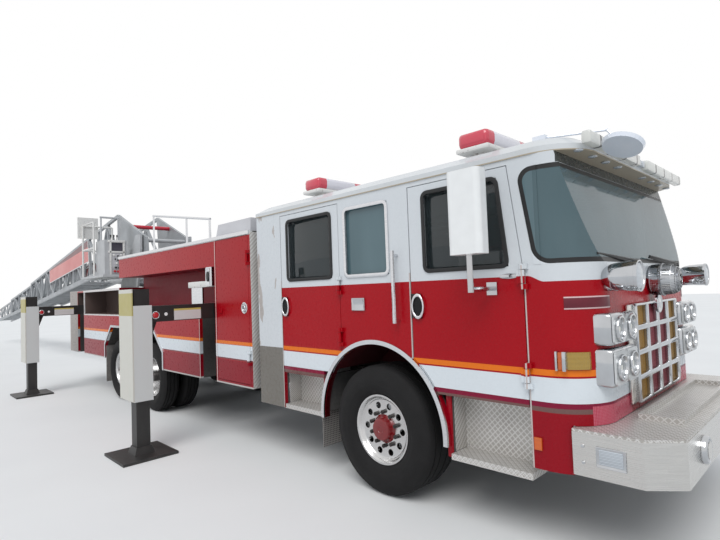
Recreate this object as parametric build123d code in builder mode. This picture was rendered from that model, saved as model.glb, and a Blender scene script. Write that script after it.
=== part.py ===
from build123d import *
import os
from math import cos, sin, sqrt, radians, degrees, atan2

# A four-door fire engine with a rear-mounted aerial ladder, standing on its four outriggers.
# Millimetres, +X forward, +Y to the driver's left, +Z up. The origin is on the ground, at the
# middle of the whole length and width. Stations along the truck are given from the front axle,
# forward positive, and at() turns one into the model's own X.

os.makedirs("parts", exist_ok=True)

# Wheels and axles
wheel_flats = 40
flat_turn = 180 / wheel_flats
front_tyre_radius = 556
front_tyre_width = 425
front_wheel_out = 1020
rear_tyre_radius = 530
rear_tyre_width = 279
rear_twin_out = 1100
rear_twin_in = 770
rear_axles = (-4926, -6300)
bead_radius = 286
rim_wall = 22
flange_height = 16
flange_thick = 12
disc_thick = 24
hand_hole_radius = 27
hand_hole_ring = 205
hand_holes = 10
hub_radius = 105
spindle_radius = 48
running_gap = 0.2
kingpin_out = 860
kingpin_radius = 26
axle_beam = 110

# Chassis
rail_half_width = 432
rail_thick = 85
rail_top = 920
rail_depth = 260
rail_front = 1660
rail_rear = -9290
torque_rear = -9000
tow_eye_x = -9225
tow_eye_radius = 25

# Cab
cab_half_width = 1220
cab_front = 1840
cab_rear = -1808
cab_bottom = 560
cab_corner = 330
wall = 60
belt_z = 1880
gutter_z = 2637
roof_top = 2750
windshield_top_x = 1640
floor_top = 1080
floor_thick = 50
arch_z = 600
arch_radius = 700
arch_skin = 40
arch_inner_y = 560
door_gap = 6
door_swing_gap = 10
door_hinge_x = 1407
door_head = 2600

# Body
body_half_width = 1270
body_front = -1888
body_bottom = 697
body_top = 2504
body_skin = 40
body_inner_y = 640
shelf_z = 1500
recess_top = 2141
recess_depth = 420
upper_panel_rear = -6115
platform_z = 1972
truck_tail = -9160
arch_front_x = -4345
arch_rear_x = -6885
arch_top = 1270
arch_shoulder = 950
arch_slant = 330

# Outriggers: in each opening the right beam lies ahead of the left one
outrigger_openings = ((-2724, -3151), (-8182, -8609))
beam_stagger = 190
beam_width = 180
beam_height = 185
beam_top = 1678
leg_out = 2160
leg_size = 212
beam_length = 1700
beam_stroke = 1020
housing_out = 935
housing_in = 600
cover_thick = 12
leg_bottom = 614
leg_top = 1690
inner_leg_size = 150
pad_size = 600
pad_thick = 28
slide_gap = 0.3

# Turntable and ladder
turntable_x = -7900
pedestal_radius = 560
pedestal_top = 1790
turntable_radius = 615
turntable_thick = 60
heel_x = -7150
heel_z = 2950
depression = 6
base_length = 10000
mid_length = 9300
fly_length = 8900
mid_tucked = 450
fly_tucked = 200
extension = 4300
chord_drop = 300
chord_depth = 110

# Front bumper
bumper_front = 2261
bumper_low = 580
bumper_high = 847
bumper_wall = 12
bumper_rear = 1674
deck_thick = 15
bumper_fitting = 36

# Derived overall reach and the station of the front axle in the model
ladder_cos = cos(radians(depression))
ladder_sin = sin(radians(depression))
fly_start = mid_tucked + extension + fly_tucked + extension
fly_top_tip = 330
tip_reach = -heel_x + (fly_start + fly_length) * ladder_cos + fly_top_tip * ladder_sin
front_reach = bumper_front + bumper_fitting
front_axle_x = (tip_reach - front_reach) / 2


def at(station):
    """X in the model of a station measured from the front axle."""
    return front_axle_x + station


def save(piece, name):
    """Label a finished piece and write it."""
    piece.part.label = name
    export_step(piece.part, f"parts/{name}.step")


def save_mirrored(piece, name):
    """Write the same piece for the other side of the truck."""
    with BuildPart() as other:
        add(mirror(piece.part, about=Plane.XZ, mode=Mode.PRIVATE))
    save(other, name)


# Tyres and rims. Each is a loft through regular polygons, so that it keeps few facets.
# Profile rows: distance out from the tyre's own middle, radius to the flats
def tyre_rows(radius, width):
    half = width / 2
    return (
        (-half + 60, bead_radius + flange_height + 1),
        (-half, radius - 0.55 * (radius - bead_radius)),
        (-half + 28, radius - 28),
        (-half + 70, radius),
        (half - 70, radius),
        (half - 28, radius - 28),
        (half, radius - 0.55 * (radius - bead_radius)),
        (half - 60, bead_radius + flange_height + 1),
    )


def make_tyres(centres, axle, radius, width):
    with BuildPart() as tyres:
        for centre in centres:
            for out, row_radius in tyre_rows(radius, width):
                with BuildSketch(Plane.XZ.offset(centre + out)):
                    with Locations((at(axle), radius)):
                        RegularPolygon(row_radius, wheel_flats, major_radius=False, rotation=flat_turn)
            loft(ruled=True)
        with BuildSketch(Plane.XZ.offset(min(centres) - width)):
            with Locations((at(axle), radius)):
                RegularPolygon(bead_radius, wheel_flats, major_radius=False, rotation=flat_turn)
        extrude(amount=max(centres) - min(centres) + 2 * width, mode=Mode.SUBTRACT)
    return tyres


def make_rim(centres, axle, radius, width, disc_at, hub_to):
    inner = min(centres) - width / 2 + 60
    outer = max(centres) + width / 2 - 60
    with BuildPart() as rim:
        # Barrel rows: start, end, radius
        for start, end, row_radius in (
            (inner, outer, bead_radius),
            (inner - flange_thick, inner, bead_radius + flange_height),
            (outer, outer + flange_thick, bead_radius + flange_height),
        ):
            with BuildSketch(Plane.XZ.offset(start)):
                with Locations((at(axle), radius)):
                    RegularPolygon(row_radius, wheel_flats, major_radius=False, rotation=flat_turn)
            extrude(amount=end - start)
        # The two dishes leave the disc between them
        for start, end in ((inner - flange_thick, disc_at), (disc_at + disc_thick, outer + flange_thick)):
            with BuildSketch(Plane.XZ.offset(start)):
                with Locations((at(axle), radius)):
                    RegularPolygon(bead_radius - rim_wall, wheel_flats, major_radius=False, rotation=flat_turn)
            extrude(amount=end - start, mode=Mode.SUBTRACT)
        with BuildSketch(Plane.XZ.offset(disc_at)):
            with Locations((at(axle), radius)):
                with PolarLocations(hand_hole_ring, hand_holes):
                    RegularPolygon(hand_hole_radius, 8)
        extrude(amount=disc_thick, mode=Mode.SUBTRACT)
        with BuildSketch(Plane.XZ.offset(disc_at - 60)):
            with Locations((at(axle), radius)):
                RegularPolygon(hub_radius + 25, 24)
        extrude(amount=disc_thick + 75)
        with BuildSketch(Plane.XZ.offset(disc_at)):
            with Locations((at(axle), radius)):
                RegularPolygon(hub_radius - 25, 24)
        extrude(amount=hub_to - disc_at)
        with BuildSketch(Plane.XZ.offset(disc_at - 60)):
            with Locations((at(axle), radius)):
                Circle(spindle_radius + running_gap)
        extrude(amount=60 + disc_thick + 20, mode=Mode.SUBTRACT)
    return rim


front_disc = front_wheel_out + 30
front_tyre = make_tyres((front_wheel_out,), 0, front_tyre_radius, front_tyre_width)
save(front_tyre, "front_tyre_right")
save_mirrored(front_tyre, "front_tyre_left")
front_rim = make_rim((front_wheel_out,), 0, front_tyre_radius, front_tyre_width, front_disc, front_disc + 150)
save(front_rim, "front_rim_right")
save_mirrored(front_rim, "front_rim_left")

rear_disc = (rear_twin_out + rear_twin_in) / 2 - disc_thick / 2
for row, axle in zip(("first", "second"), rear_axles):
    twin_tyres = make_tyres((rear_twin_out, rear_twin_in), axle, rear_tyre_radius, rear_tyre_width)
    save(twin_tyres, f"rear_tyres_{row}_right")
    save_mirrored(twin_tyres, f"rear_tyres_{row}_left")
    twin_rim = make_rim(
        (rear_twin_out, rear_twin_in), axle, rear_tyre_radius, rear_tyre_width, rear_disc, rear_twin_out + 95
    )
    save(twin_rim, f"rear_rims_{row}_right")
    save_mirrored(twin_rim, f"rear_rims_{row}_left")

# Knuckle: an upright on the kingpin and the spindle that carries the hub
knuckle_height = 260
knuckle_width = 130
with BuildPart() as knuckle:
    with BuildSketch(Plane.XY.offset(front_tyre_radius - knuckle_height / 2)):
        with Locations((at(0), -kingpin_out - 10)):
            Rectangle(knuckle_width, 90)
    extrude(amount=knuckle_height)
    with BuildSketch(Plane.XZ.offset(kingpin_out)):
        with Locations((at(0), front_tyre_radius)):
            Circle(spindle_radius)
    extrude(amount=front_disc + disc_thick - kingpin_out)
    # Jaw for the end of the axle beam
    with BuildSketch(Plane.XZ.offset(kingpin_out - 90)):
        with Locations((at(0), front_tyre_radius)):
            Rectangle(knuckle_width + 90, axle_beam + 10)
    extrude(amount=142, mode=Mode.SUBTRACT)
    with BuildSketch(Plane.XZ.offset(kingpin_out + 51)):
        with Locations((at(0), front_tyre_radius)):
            Rectangle(knuckle_width, knuckle_height)
    extrude(amount=24)
    with BuildSketch(Plane.XY.offset(front_tyre_radius - knuckle_height / 2)):
        with Locations((at(0), -kingpin_out)):
            Circle(kingpin_radius)
    extrude(amount=knuckle_height)
save(knuckle, "knuckle_right")
save_mirrored(knuckle, "knuckle_left")

# Front axle: a drop beam with an eye round each kingpin, hung from the rails by leaf springs
with BuildPart() as front_axle:
    eye_half = axle_beam / 2
    with BuildSketch(Plane.XY.offset(front_tyre_radius - eye_half)):
        with Locations((at(0), 0)):
            Rectangle(axle_beam, 2 * kingpin_out)
        with Locations((at(0), -kingpin_out), (at(0), kingpin_out)):
            Circle(48)
        with Locations((at(0), -kingpin_out), (at(0), kingpin_out)):
            Circle(kingpin_radius + running_gap, mode=Mode.SUBTRACT)
    extrude(amount=axle_beam)
    spring_y = rail_half_width - rail_thick / 2
    spring_halves = (620, 460, 300)
    spring_base = front_tyre_radius + eye_half
    leaf = (rail_top - rail_depth - spring_base - slide_gap) / len(spring_halves)
    for count, leaf_half in enumerate(reversed(spring_halves)):
        with BuildSketch(Plane.XY.offset(spring_base + count * leaf)):
            with Locations((at(0), -spring_y), (at(0), spring_y)):
                Rectangle(2 * leaf_half, 75)
        extrude(amount=leaf)
save(front_axle, "front_axle")

# Rear axles: a housing with a differential bowl, its spindles and a walking spring on each side
with BuildPart() as rear_axle_pair:
    for axle in rear_axles:
        with BuildSketch(Plane.XZ):
            with Locations((at(axle), rear_tyre_radius)):
                RegularPolygon(75, 16)
        extrude(amount=rear_twin_in - 190, both=True)
        with BuildSketch(Plane.XZ):
            with Locations((at(axle), rear_tyre_radius)):
                Circle(spindle_radius)
        extrude(amount=rear_disc + disc_thick, both=True)
        with BuildSketch(Plane.XZ):
            with Locations((at(axle), rear_tyre_radius)):
                RegularPolygon(210, 16)
        extrude(amount=150, both=True)
    middle_axle = (rear_axles[0] + rear_axles[1]) / 2
    spring_run = rear_axles[0] - rear_axles[1]
    with BuildSketch(Plane.XY.offset(rear_tyre_radius + 60)):
        with Locations((at(middle_axle), -spring_y), (at(middle_axle), spring_y)):
            Rectangle(spring_run + 160, 75)
    extrude(amount=rail_top - rail_depth - slide_gap - rear_tyre_radius - 60)
save(rear_axle_pair, "rear_axles")

# Chassis: two rails, cross-members, the torque box and the four outrigger housings
housing_wall = 14
housing_base = beam_top - beam_height - housing_wall
torque_front = -2500
torque_wall = 16
with BuildPart() as chassis:
    with BuildSketch(Plane.XY.offset(rail_top - rail_depth)):
        with Locations((at((rail_front + rail_rear) / 2), 0)):
            with GridLocations(0, 2 * rail_half_width - rail_thick, 1, 2):
                Rectangle(rail_front - rail_rear, rail_thick)
    extrude(amount=rail_depth)
    with BuildSketch(Plane.XY.offset(rail_top - rail_depth + 50)):
        for cross in (1560, -1500, -3400, -4200, -5613, -7100, -8800):
            with Locations((at(cross), 0)):
                Rectangle(120, 2 * rail_half_width - 2 * rail_thick)
    extrude(amount=rail_depth - 100)
    # Torque box from behind the cab to the tail, open at its ends
    for trim, mode in ((0, Mode.ADD), (torque_wall, Mode.SUBTRACT)):
        with BuildSketch(Plane.YZ.offset(at(torque_rear))):
            with Locations((0, (rail_top + housing_base) / 2)):
                Rectangle(2 * (rail_half_width - trim), housing_base - rail_top - 2 * trim)
        extrude(amount=torque_front - torque_rear, mode=mode)
    # Housings across the frame, one for each beam, open at both ends
    for opening in outrigger_openings:
        middle = (opening[0] + opening[1]) / 2
        for side in (1, -1):
            with BuildSketch(Plane.XZ.offset(side * housing_out)):
                with Locations((at(middle + side * beam_stagger / 2), beam_top - beam_height / 2)):
                    Rectangle(beam_width + 2 * housing_wall, beam_height + 2 * housing_wall)
            extrude(amount=-side * (housing_out + housing_in))
    for opening in outrigger_openings:
        middle = (opening[0] + opening[1]) / 2
        for side in (1, -1):
            with BuildSketch(Plane.XZ.offset(side * housing_out)):
                with Locations((at(middle + side * beam_stagger / 2), beam_top - beam_height / 2)):
                    Rectangle(beam_width + 2 * slide_gap, beam_height + 2 * slide_gap)
            extrude(amount=-side * (housing_out + housing_in), mode=Mode.SUBTRACT)
    # Dropped rail ends that carry the bumper
    with BuildSketch(Plane.XY.offset(bumper_low + 20)):
        with Locations((at((rail_front - 200 + bumper_front - bumper_wall) / 2), 0)):
            with GridLocations(0, 2 * rail_half_width - rail_thick, 1, 2):
                Rectangle(bumper_front - bumper_wall - rail_front + 200, rail_thick)
    extrude(amount=bumper_high - bumper_low - 20)
    # Brackets on the rails that carry the cab's floor
    with BuildSketch(Plane.XY.offset(rail_top - 60)):
        for station in (1500, -1100):
            with Locations((at(station), -rail_half_width - 50), (at(station), rail_half_width + 50)):
                Rectangle(120, 140)
    extrude(amount=floor_top - floor_thick - slide_gap - rail_top + 60)
    # Tow eyes through the rear ends of the rails
    with BuildSketch(Plane.XZ):
        with Locations((at(tow_eye_x), rail_top - rail_depth / 2)):
            Circle(tow_eye_radius)
    extrude(amount=2 * rail_half_width, both=True, mode=Mode.SUBTRACT)
save(chassis, "chassis_frame")

# Engine, closed in under the tunnel between the front seats
with BuildPart() as engine:
    with BuildSketch(Plane.XY.offset(rail_top - 180)):
        with Locations((at(650), 0)):
            Rectangle(1350, 2 * (rail_half_width - rail_thick - slide_gap))
    extrude(amount=640)
save(engine, "engine_block")

# Cab: a hollow shell from a side profile and a plan, then its wells, doors and windows cut
tunnel_top = 1500
tunnel_half_width = 470
tunnel_rear = -500
crew_front_x = -429
crew_rear_x = -1359
front_rear_x = 421
front_sill = 950
crew_sill = 1005


def cab_volume(inset, low, high):
    """The cab's outer form between two heights, moved in by a wall: a side profile cut by a plan."""
    with BuildPart() as volume:
        with BuildSketch(Plane.XZ):
            Polygon(
                (at(cab_rear + inset), low),
                (at(cab_front - inset), low),
                (at(cab_front - inset), belt_z),
                (at(windshield_top_x - inset), gutter_z),
                (at(cab_rear + inset), gutter_z),
                align=None,
            )
        extrude(amount=cab_half_width - inset, both=True)
        with BuildSketch(Plane.XY.offset(low)) as plan:
            with BuildLine():
                Polyline(
                    (at(cab_rear + inset), -cab_half_width + inset),
                    (at(cab_front - inset), -cab_half_width + inset),
                    (at(cab_front - inset), cab_half_width - inset),
                    (at(cab_rear + inset), cab_half_width - inset),
                    close=True,
                )
            make_face()
            fillet(plan.vertices().group_by(Axis.X)[-1], cab_corner - inset)
        extrude(amount=high - low, mode=Mode.INTERSECT)
    return volume


# Door rows: front seam at the sill, front seam at the head, rear seam, sill
door_rows = {
    "front": (door_hinge_x, 1318, front_rear_x, front_sill),
    "crew": (crew_front_x, crew_front_x, crew_rear_x, crew_sill),
}
# Window rows: rear edge, front edge at the sill, front edge at the head
window_low = 1900
window_high = 2530
shield_low = belt_z + 20
shield_high = 2560
shield_rear = 1500
hinge_out = 26
pin_radius = 9
front_hinge_heights = (1120, 1780)
crew_hinge_heights = (1300, 1780)
hinge_span = 90
window_rows = {
    "front": (575, 1300, 1235),
    "fixed": (-345, 195, 195),
    "crew": (-1240, -535, -535),
}

# Room inside, above the floor; the tunnel and the wheel boxes stand up into it
with BuildPart() as room:
    add(cab_volume(wall, floor_top, gutter_z).part)
    with BuildSketch(Plane.YZ.offset(at(tunnel_rear))):
        with Locations((0, floor_top)):
            Rectangle(2 * tunnel_half_width, 2 * (tunnel_top - floor_top))
    extrude(amount=cab_front - tunnel_rear, mode=Mode.SUBTRACT)
    for side in (-1, 1):
        with BuildSketch(Plane.XZ.offset(side * cab_half_width)):
            with Locations((at(0), arch_z)):
                Circle(arch_radius + arch_skin)
        extrude(amount=-side * (cab_half_width - arch_inner_y + arch_skin), mode=Mode.SUBTRACT)

with BuildPart() as cab:
    add(cab_volume(0, cab_bottom, gutter_z).part)
    add(room.part, mode=Mode.SUBTRACT)
    # Under the floor only the skirts and the front apron are left
    with BuildSketch(Plane.XY.offset(cab_bottom)):
        with Locations((at((cab_rear + cab_front - wall) / 2), 0)):
            Rectangle(cab_front - cab_rear - wall, 2 * (cab_half_width - wall))
    extrude(amount=floor_top - floor_thick - cab_bottom, mode=Mode.SUBTRACT)
    # Under the tunnel
    with BuildSketch(Plane.YZ.offset(at(tunnel_rear + arch_skin))):
        with Locations((0, floor_top - floor_thick)):
            Rectangle(2 * (tunnel_half_width - arch_skin), 2 * (tunnel_top - arch_skin - floor_top + floor_thick))
    extrude(amount=cab_front - wall - tunnel_rear - arch_skin, mode=Mode.SUBTRACT)
    # The apron ends above the bumper's deck
    with BuildSketch(Plane.XZ):
        with Locations((at(cab_front), bumper_low)):
            Rectangle(2 * (cab_front - bumper_rear + 10), 2 * (bumper_high + deck_thick + 5 - bumper_low))
    extrude(amount=cab_half_width, both=True, mode=Mode.SUBTRACT)
    # Wheel arches, and the steps behind the sills
    for side in (-1, 1):
        with BuildSketch(Plane.XZ.offset(side * cab_half_width)):
            with Locations((at(0), arch_z)):
                Circle(arch_radius)
        extrude(amount=-side * (cab_half_width - arch_inner_y), mode=Mode.SUBTRACT)
    with BuildSketch(Plane.XZ):
        with Locations((at(0), cab_bottom)):
            Rectangle(2 * arch_radius, 2 * (arch_z - cab_bottom))
    extrude(amount=cab_half_width, both=True, mode=Mode.SUBTRACT)
    # Door openings, down through the skirt, where the steps are
    for side in (-1, 1):
        for low_front, high_front, rear, sill in door_rows.values():
            with BuildSketch(Plane.XZ.offset(side * cab_half_width)):
                Polygon(
                    (at(rear), cab_bottom),
                    (at(low_front), cab_bottom),
                    (at(low_front), belt_z),
                    (at(high_front), door_head),
                    (at(rear), door_head),
                    align=None,
                )
                with Locations((at(0), arch_z)):
                    Circle(arch_radius + arch_skin, mode=Mode.SUBTRACT)
            extrude(amount=-side * wall, mode=Mode.SUBTRACT)
        # Fixed window between the doors
        with BuildSketch(Plane.XZ.offset(side * cab_half_width)):
            rear, low_front, high_front = window_rows["fixed"]
            with Locations((at((rear + low_front) / 2), (window_low + window_high) / 2)):
                Rectangle(low_front - rear, window_high - window_low)
        extrude(amount=-side * wall, mode=Mode.SUBTRACT)
    # Windshield opening, through the sloping front and round its corners
    with BuildSketch(Plane.YZ.offset(at(shield_rear))):
        with Locations((0, (shield_low + shield_high) / 2)):
            Rectangle(2 * cab_half_width, shield_high - shield_low)
    extrude(amount=cab_front - shield_rear, mode=Mode.SUBTRACT)
    # Hinge pins, each held at its ends by brackets ahead of the seam
    for side in (-1, 1):
        for seam, heights in ((door_hinge_x, front_hinge_heights), (crew_front_x, crew_hinge_heights)):
            for height in heights:
                for low in (height - 40, height + hinge_span + 5):
                    with BuildSketch(Plane.XY.offset(low)):
                        with Locations((at(seam + 18), side * (cab_half_width + hinge_out / 2))):
                            Rectangle(36, hinge_out)
                        with Locations((at(seam), side * (cab_half_width + hinge_out))):
                            Circle(pin_radius + 9)
                    extrude(amount=35)
                with BuildSketch(Plane.XY.offset(height - 40)):
                    with Locations((at(seam), side * (cab_half_width + hinge_out))):
                        Circle(pin_radius)
                extrude(amount=hinge_span + 80)
save(cab, "cab_shell")

# Cab roof: a pressed panel that sits on the gutter and runs out over the windshield as a visor
visor_front = 1800
roof_edge = 70
with BuildPart() as roof:
    with BuildSketch(Plane.XY.offset(gutter_z)) as roof_plan:
        with BuildLine():
            Polyline(
                (at(cab_rear), -cab_half_width - 8),
                (at(visor_front), -cab_half_width - 8),
                (at(visor_front), cab_half_width + 8),
                (at(cab_rear), cab_half_width + 8),
                close=True,
            )
        make_face()
        fillet(roof_plan.vertices().group_by(Axis.X)[-1], cab_corner)
    extrude(amount=roof_top - gutter_z)
    chamfer(roof.edges().group_by(Axis.Z)[-1], roof_edge, roof_edge * 1.6)
    with BuildSketch(Plane.XY.offset(gutter_z)):
        with Locations((at((cab_rear + windshield_top_x) / 2), 0)):
            Rectangle(windshield_top_x - cab_rear - 4 * wall, 2 * (cab_half_width - 3 * wall))
    extrude(amount=roof_top - gutter_z - wall / 2, mode=Mode.SUBTRACT)
save(roof, "cab_roof")

# Glass: the windshield, wrapped round the corners, and the fixed side windows
glass = 8
glass_gap = 0.3
with BuildPart() as cab_glass:
    add(cab_volume(0, shield_low + glass_gap, shield_high - glass_gap).part)
    add(cab_volume(glass, shield_low - wall, gutter_z).part, mode=Mode.SUBTRACT)
    with BuildSketch(Plane.YZ.offset(at(shield_rear + glass_gap))):
        with Locations((0, (shield_low + shield_high) / 2)):
            Rectangle(3 * cab_half_width, 2 * (shield_high - shield_low))
    extrude(amount=cab_rear - cab_front, mode=Mode.SUBTRACT)
    for side in (-1, 1):
        rear, low_front, high_front = window_rows["fixed"]
        with BuildSketch(Plane.XZ.offset(side * (cab_half_width - wall / 2))):
            with Locations((at((rear + low_front) / 2), (window_low + window_high) / 2)):
                Rectangle(low_front - rear - 2 * glass_gap, window_high - window_low - 2 * glass_gap)
        extrude(amount=side * glass)
save(cab_glass, "cab_glass")


# Doors, hinged at their front seams on the shell's pins


def make_door(kind, hinge_rows):
    low_front, high_front, rear, sill = door_rows[kind]
    window_rear, window_front, window_front_high = window_rows[kind]
    with BuildPart() as door:
        with BuildSketch(Plane.XZ.offset(cab_half_width)):
            Polygon(
                (at(rear + door_swing_gap), sill),
                (at(low_front - door_gap), sill),
                (at(low_front - door_gap), belt_z),
                (at(high_front - door_gap), door_head - door_gap),
                (at(rear + door_swing_gap), door_head - door_gap),
                align=None,
            )
            with Locations((at(0), arch_z)):
                Circle(arch_radius + arch_skin + door_gap, mode=Mode.SUBTRACT)
            Polygon(
                (at(window_rear), window_low),
                (at(window_front), window_low),
                (at(window_front_high), window_high),
                (at(window_rear), window_high),
                align=None,
                mode=Mode.SUBTRACT,
            )
        extrude(amount=-wall)
        # Knuckles round the pins
        for height in hinge_rows:
            with BuildSketch(Plane.XY.offset(height)):
                with Locations((at(low_front - 20), -cab_half_width - hinge_out / 2)):
                    Rectangle(40, hinge_out)
                with Locations((at(low_front), -cab_half_width - hinge_out)):
                    Circle(pin_radius + 9)
                    Circle(pin_radius + running_gap, mode=Mode.SUBTRACT)
            extrude(amount=hinge_span)
        # Handle
        with BuildSketch(Plane.XZ.offset(cab_half_width)):
            with Locations((at(rear + 75), 1625)):
                Rectangle(75, 190)
        extrude(amount=14)
    return door


front_door = make_door("front", front_hinge_heights)
save(front_door, "door_front_right")
save_mirrored(front_door, "door_front_left")
crew_door = make_door("crew", crew_hinge_heights)
save(crew_door, "door_crew_right")
save_mirrored(crew_door, "door_crew_left")

# Side mirrors: a tall housing on a bent arm, which stands on a foot on the front door
mirror_out = 1500
mirror_x = 1170
mirror_low = 1985
mirror_tall = 565
arm_z = 1750
arm_radius = 16
post_radius = 21
with BuildPart() as side_mirror:
    with BuildSketch(Plane.XY.offset(mirror_low)):
        with Locations((at(mirror_x), -mirror_out)):
            RectangleRounded(255, 130, 40)
    extrude(amount=mirror_tall)
    with BuildSketch(Plane.XZ.offset(cab_half_width + slide_gap)):
        with Locations((at(mirror_x), arm_z)):
            Rectangle(80, 90)
    extrude(amount=14)
    with BuildSketch(Plane.XZ.offset(cab_half_width + slide_gap)):
        with Locations((at(mirror_x), arm_z)):
            RegularPolygon(arm_radius, 8)
    extrude(amount=mirror_out - cab_half_width)
    with BuildSketch(Plane.XY.offset(arm_z - arm_radius - 4)):
        with Locations((at(mirror_x), -mirror_out)):
            RegularPolygon(post_radius, 12)
    extrude(amount=mirror_low - arm_z + 2 * arm_radius)
save(side_mirror, "mirror_right")
save_mirrored(side_mirror, "mirror_left")


def bar_between(start, end, radius, sides=8):
    """A straight bar between two points, each a station, a distance to the left and a height."""
    first = Vector(at(start[0]), start[1], start[2])
    run = Vector(at(end[0]), end[1], end[2]) - first
    with BuildSketch(Plane(origin=first, z_dir=run)) as section:
        RegularPolygon(radius, sides)
    extrude(section.sketch, amount=run.length)


# Look-down mirror at the front corner of the roof: a round glass on a bent rod with a foot
look_foot = (1500, -1060, roof_top + 22)
look_bend = (1895, -955, 2752)
look_end = (1985, -950, 2640)
look_radius = 127
look_tilt = (-0.1, -0.42, -0.9)
with BuildPart() as look_mirror:
    with BuildSketch(Plane.XY.offset(roof_top + slide_gap)):
        with Locations((at(look_foot[0]), look_foot[1])):
            Rectangle(90, 60)
    extrude(amount=34)
    bar_between(look_foot, look_bend, 9)
    with Locations((at(look_bend[0]), look_bend[1], look_bend[2])):
        Sphere(11)
    bar_between(look_bend, look_end, 9)
    with BuildSketch(Plane(origin=(at(look_end[0]), look_end[1], look_end[2]), z_dir=look_tilt)):
        RegularPolygon(look_radius, 28)
    extrude(amount=26, taper=20)
save(look_mirror, "lookdown_mirror")

# Front bumper: a bent channel with chamfered corners
bumper_corner_x = 2078
bumper_corner_y = 1070
with BuildPart() as bumper:
    with BuildSketch(Plane.XY.offset(bumper_low)) as bumper_plan:
        with BuildLine():
            Polyline(
                (at(bumper_rear), -cab_half_width),
                (at(bumper_corner_x), -cab_half_width),
                (at(bumper_front), -bumper_corner_y),
                (at(bumper_front), bumper_corner_y),
                (at(bumper_corner_x), cab_half_width),
                (at(bumper_rear), cab_half_width),
                close=True,
            )
        make_face()
        offset(amount=-bumper_wall, kind=Kind.INTERSECTION, mode=Mode.SUBTRACT)
        with Locations((at(bumper_rear), 0)):
            Rectangle(4 * bumper_wall, 2 * (cab_half_width - bumper_wall), mode=Mode.SUBTRACT)
    extrude(amount=bumper_high - bumper_low)
    # Round fittings on the front face
    with BuildSketch(Plane.YZ.offset(at(bumper_front))):
        with Locations((-700, 720), (700, 720)):
            RegularPolygon(55, 20)
    extrude(amount=bumper_fitting)
save(bumper, "front_bumper")

# Tread plates: the bumper's deck with its hose tray, and the cab steps
step_high = floor_top - floor_thick - slide_gap
# Step rows: front, rear, underside
step_rows = (
    (1400, 755, 470),
    (-752, -1345, 558),
)
with BuildPart() as tread_plates:
    with BuildSketch(Plane.XY.offset(bumper_high)):
        with BuildLine():
            Polyline(
                (at(bumper_rear), -cab_half_width + 4),
                (at(bumper_corner_x), -cab_half_width + 4),
                (at(bumper_front - 4), -bumper_corner_y),
                (at(bumper_front - 4), bumper_corner_y),
                (at(bumper_corner_x), cab_half_width - 4),
                (at(bumper_rear), cab_half_width - 4),
                close=True,
            )
        make_face()
    extrude(amount=deck_thick)
    with BuildSketch(Plane.XY.offset(bumper_high + deck_thick)):
        with Locations((at((bumper_front + cab_front) / 2), 0)):
            Rectangle(260, 1500)
            Rectangle(200, 1440, mode=Mode.SUBTRACT)
    extrude(amount=35)
    for side in (-1, 1):
        for front, rear, low in step_rows:
            # Upright back plate, hung from the floor, and the tread at its foot
            with BuildSketch(Plane.YZ.offset(at(rear))):
                Polygon(
                    (side * (cab_half_width - 2), low),
                    (side * (cab_half_width - 2), low + 45),
                    (side * (cab_half_width - wall - 150), low + 45),
                    (side * (cab_half_width - wall - 150), step_high),
                    (side * (cab_half_width - wall - 175), step_high),
                    (side * (cab_half_width - wall - 175), low),
                    align=None,
                )
            extrude(amount=front - rear)
save(tread_plates, "tread_plates")

# Mudflaps: rubber sheets on the ends of the steps behind the front wheels and at the tandem arches
flap_thick = 8
flap_low = 265
# Flap rows: rear face, outer edge, inner edge, top
flap_rows = (
    (step_rows[1][0] + slide_gap, cab_half_width - 4, 800, 600),
    (arch_rear_x + slide_gap, body_half_width - 10, body_inner_y + 10, arch_shoulder - 30),
)
with BuildPart() as flaps:
    for side in (-1, 1):
        for rear, out, inward, high in flap_rows:
            with BuildSketch(Plane.YZ.offset(at(rear))):
                with Locations((side * (out + inward) / 2, (flap_low + high) / 2)):
                    Rectangle(out - inward, high - flap_low)
            extrude(amount=flap_thick)
save(flaps, "mudflaps")

# Grille, headlamp housings, siren and the two bullet lamps: bright metal on the cab's face
grille_low = 920
grille_high = 1610
grille_half = 530
grille_proud = 45
grille_bar = 22
housing_rows = ((1365, 1570), (1105, 1345))
with BuildPart() as grille:
    with BuildSketch(Plane.YZ.offset(at(cab_front) + slide_gap)):
        with Locations((0, (grille_low + grille_high) / 2)):
            Rectangle(2 * grille_half, grille_high - grille_low)
            with GridLocations(2 * grille_half / 4, (grille_high - grille_low) / 4, 4, 4):
                Rectangle(
                    2 * grille_half / 4 - 2 * grille_bar,
                    (grille_high - grille_low) / 4 - 2 * grille_bar,
                    mode=Mode.SUBTRACT,
                )
    extrude(amount=grille_proud)
    for side in (-1, 1):
        for low, high in housing_rows:
            with BuildSketch(Plane.YZ.offset(at(cab_front - 130))):
                with Locations((side * 850, (low + high) / 2)):
                    RectangleRounded(440, high - low, 30)
            extrude(amount=130 + 55)
    with BuildSketch(Plane.YZ.offset(at(cab_front) + slide_gap)):
        with Locations((-900, 1800), (900, 1800)):
            RegularPolygon(92, 20)
        with Locations((0, 1770)):
            RegularPolygon(120, 20)
    extrude(amount=200, taper=12)
    add(cab_volume(-slide_gap, cab_bottom, gutter_z).part, mode=Mode.SUBTRACT)
save(grille, "front_grille")

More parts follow.
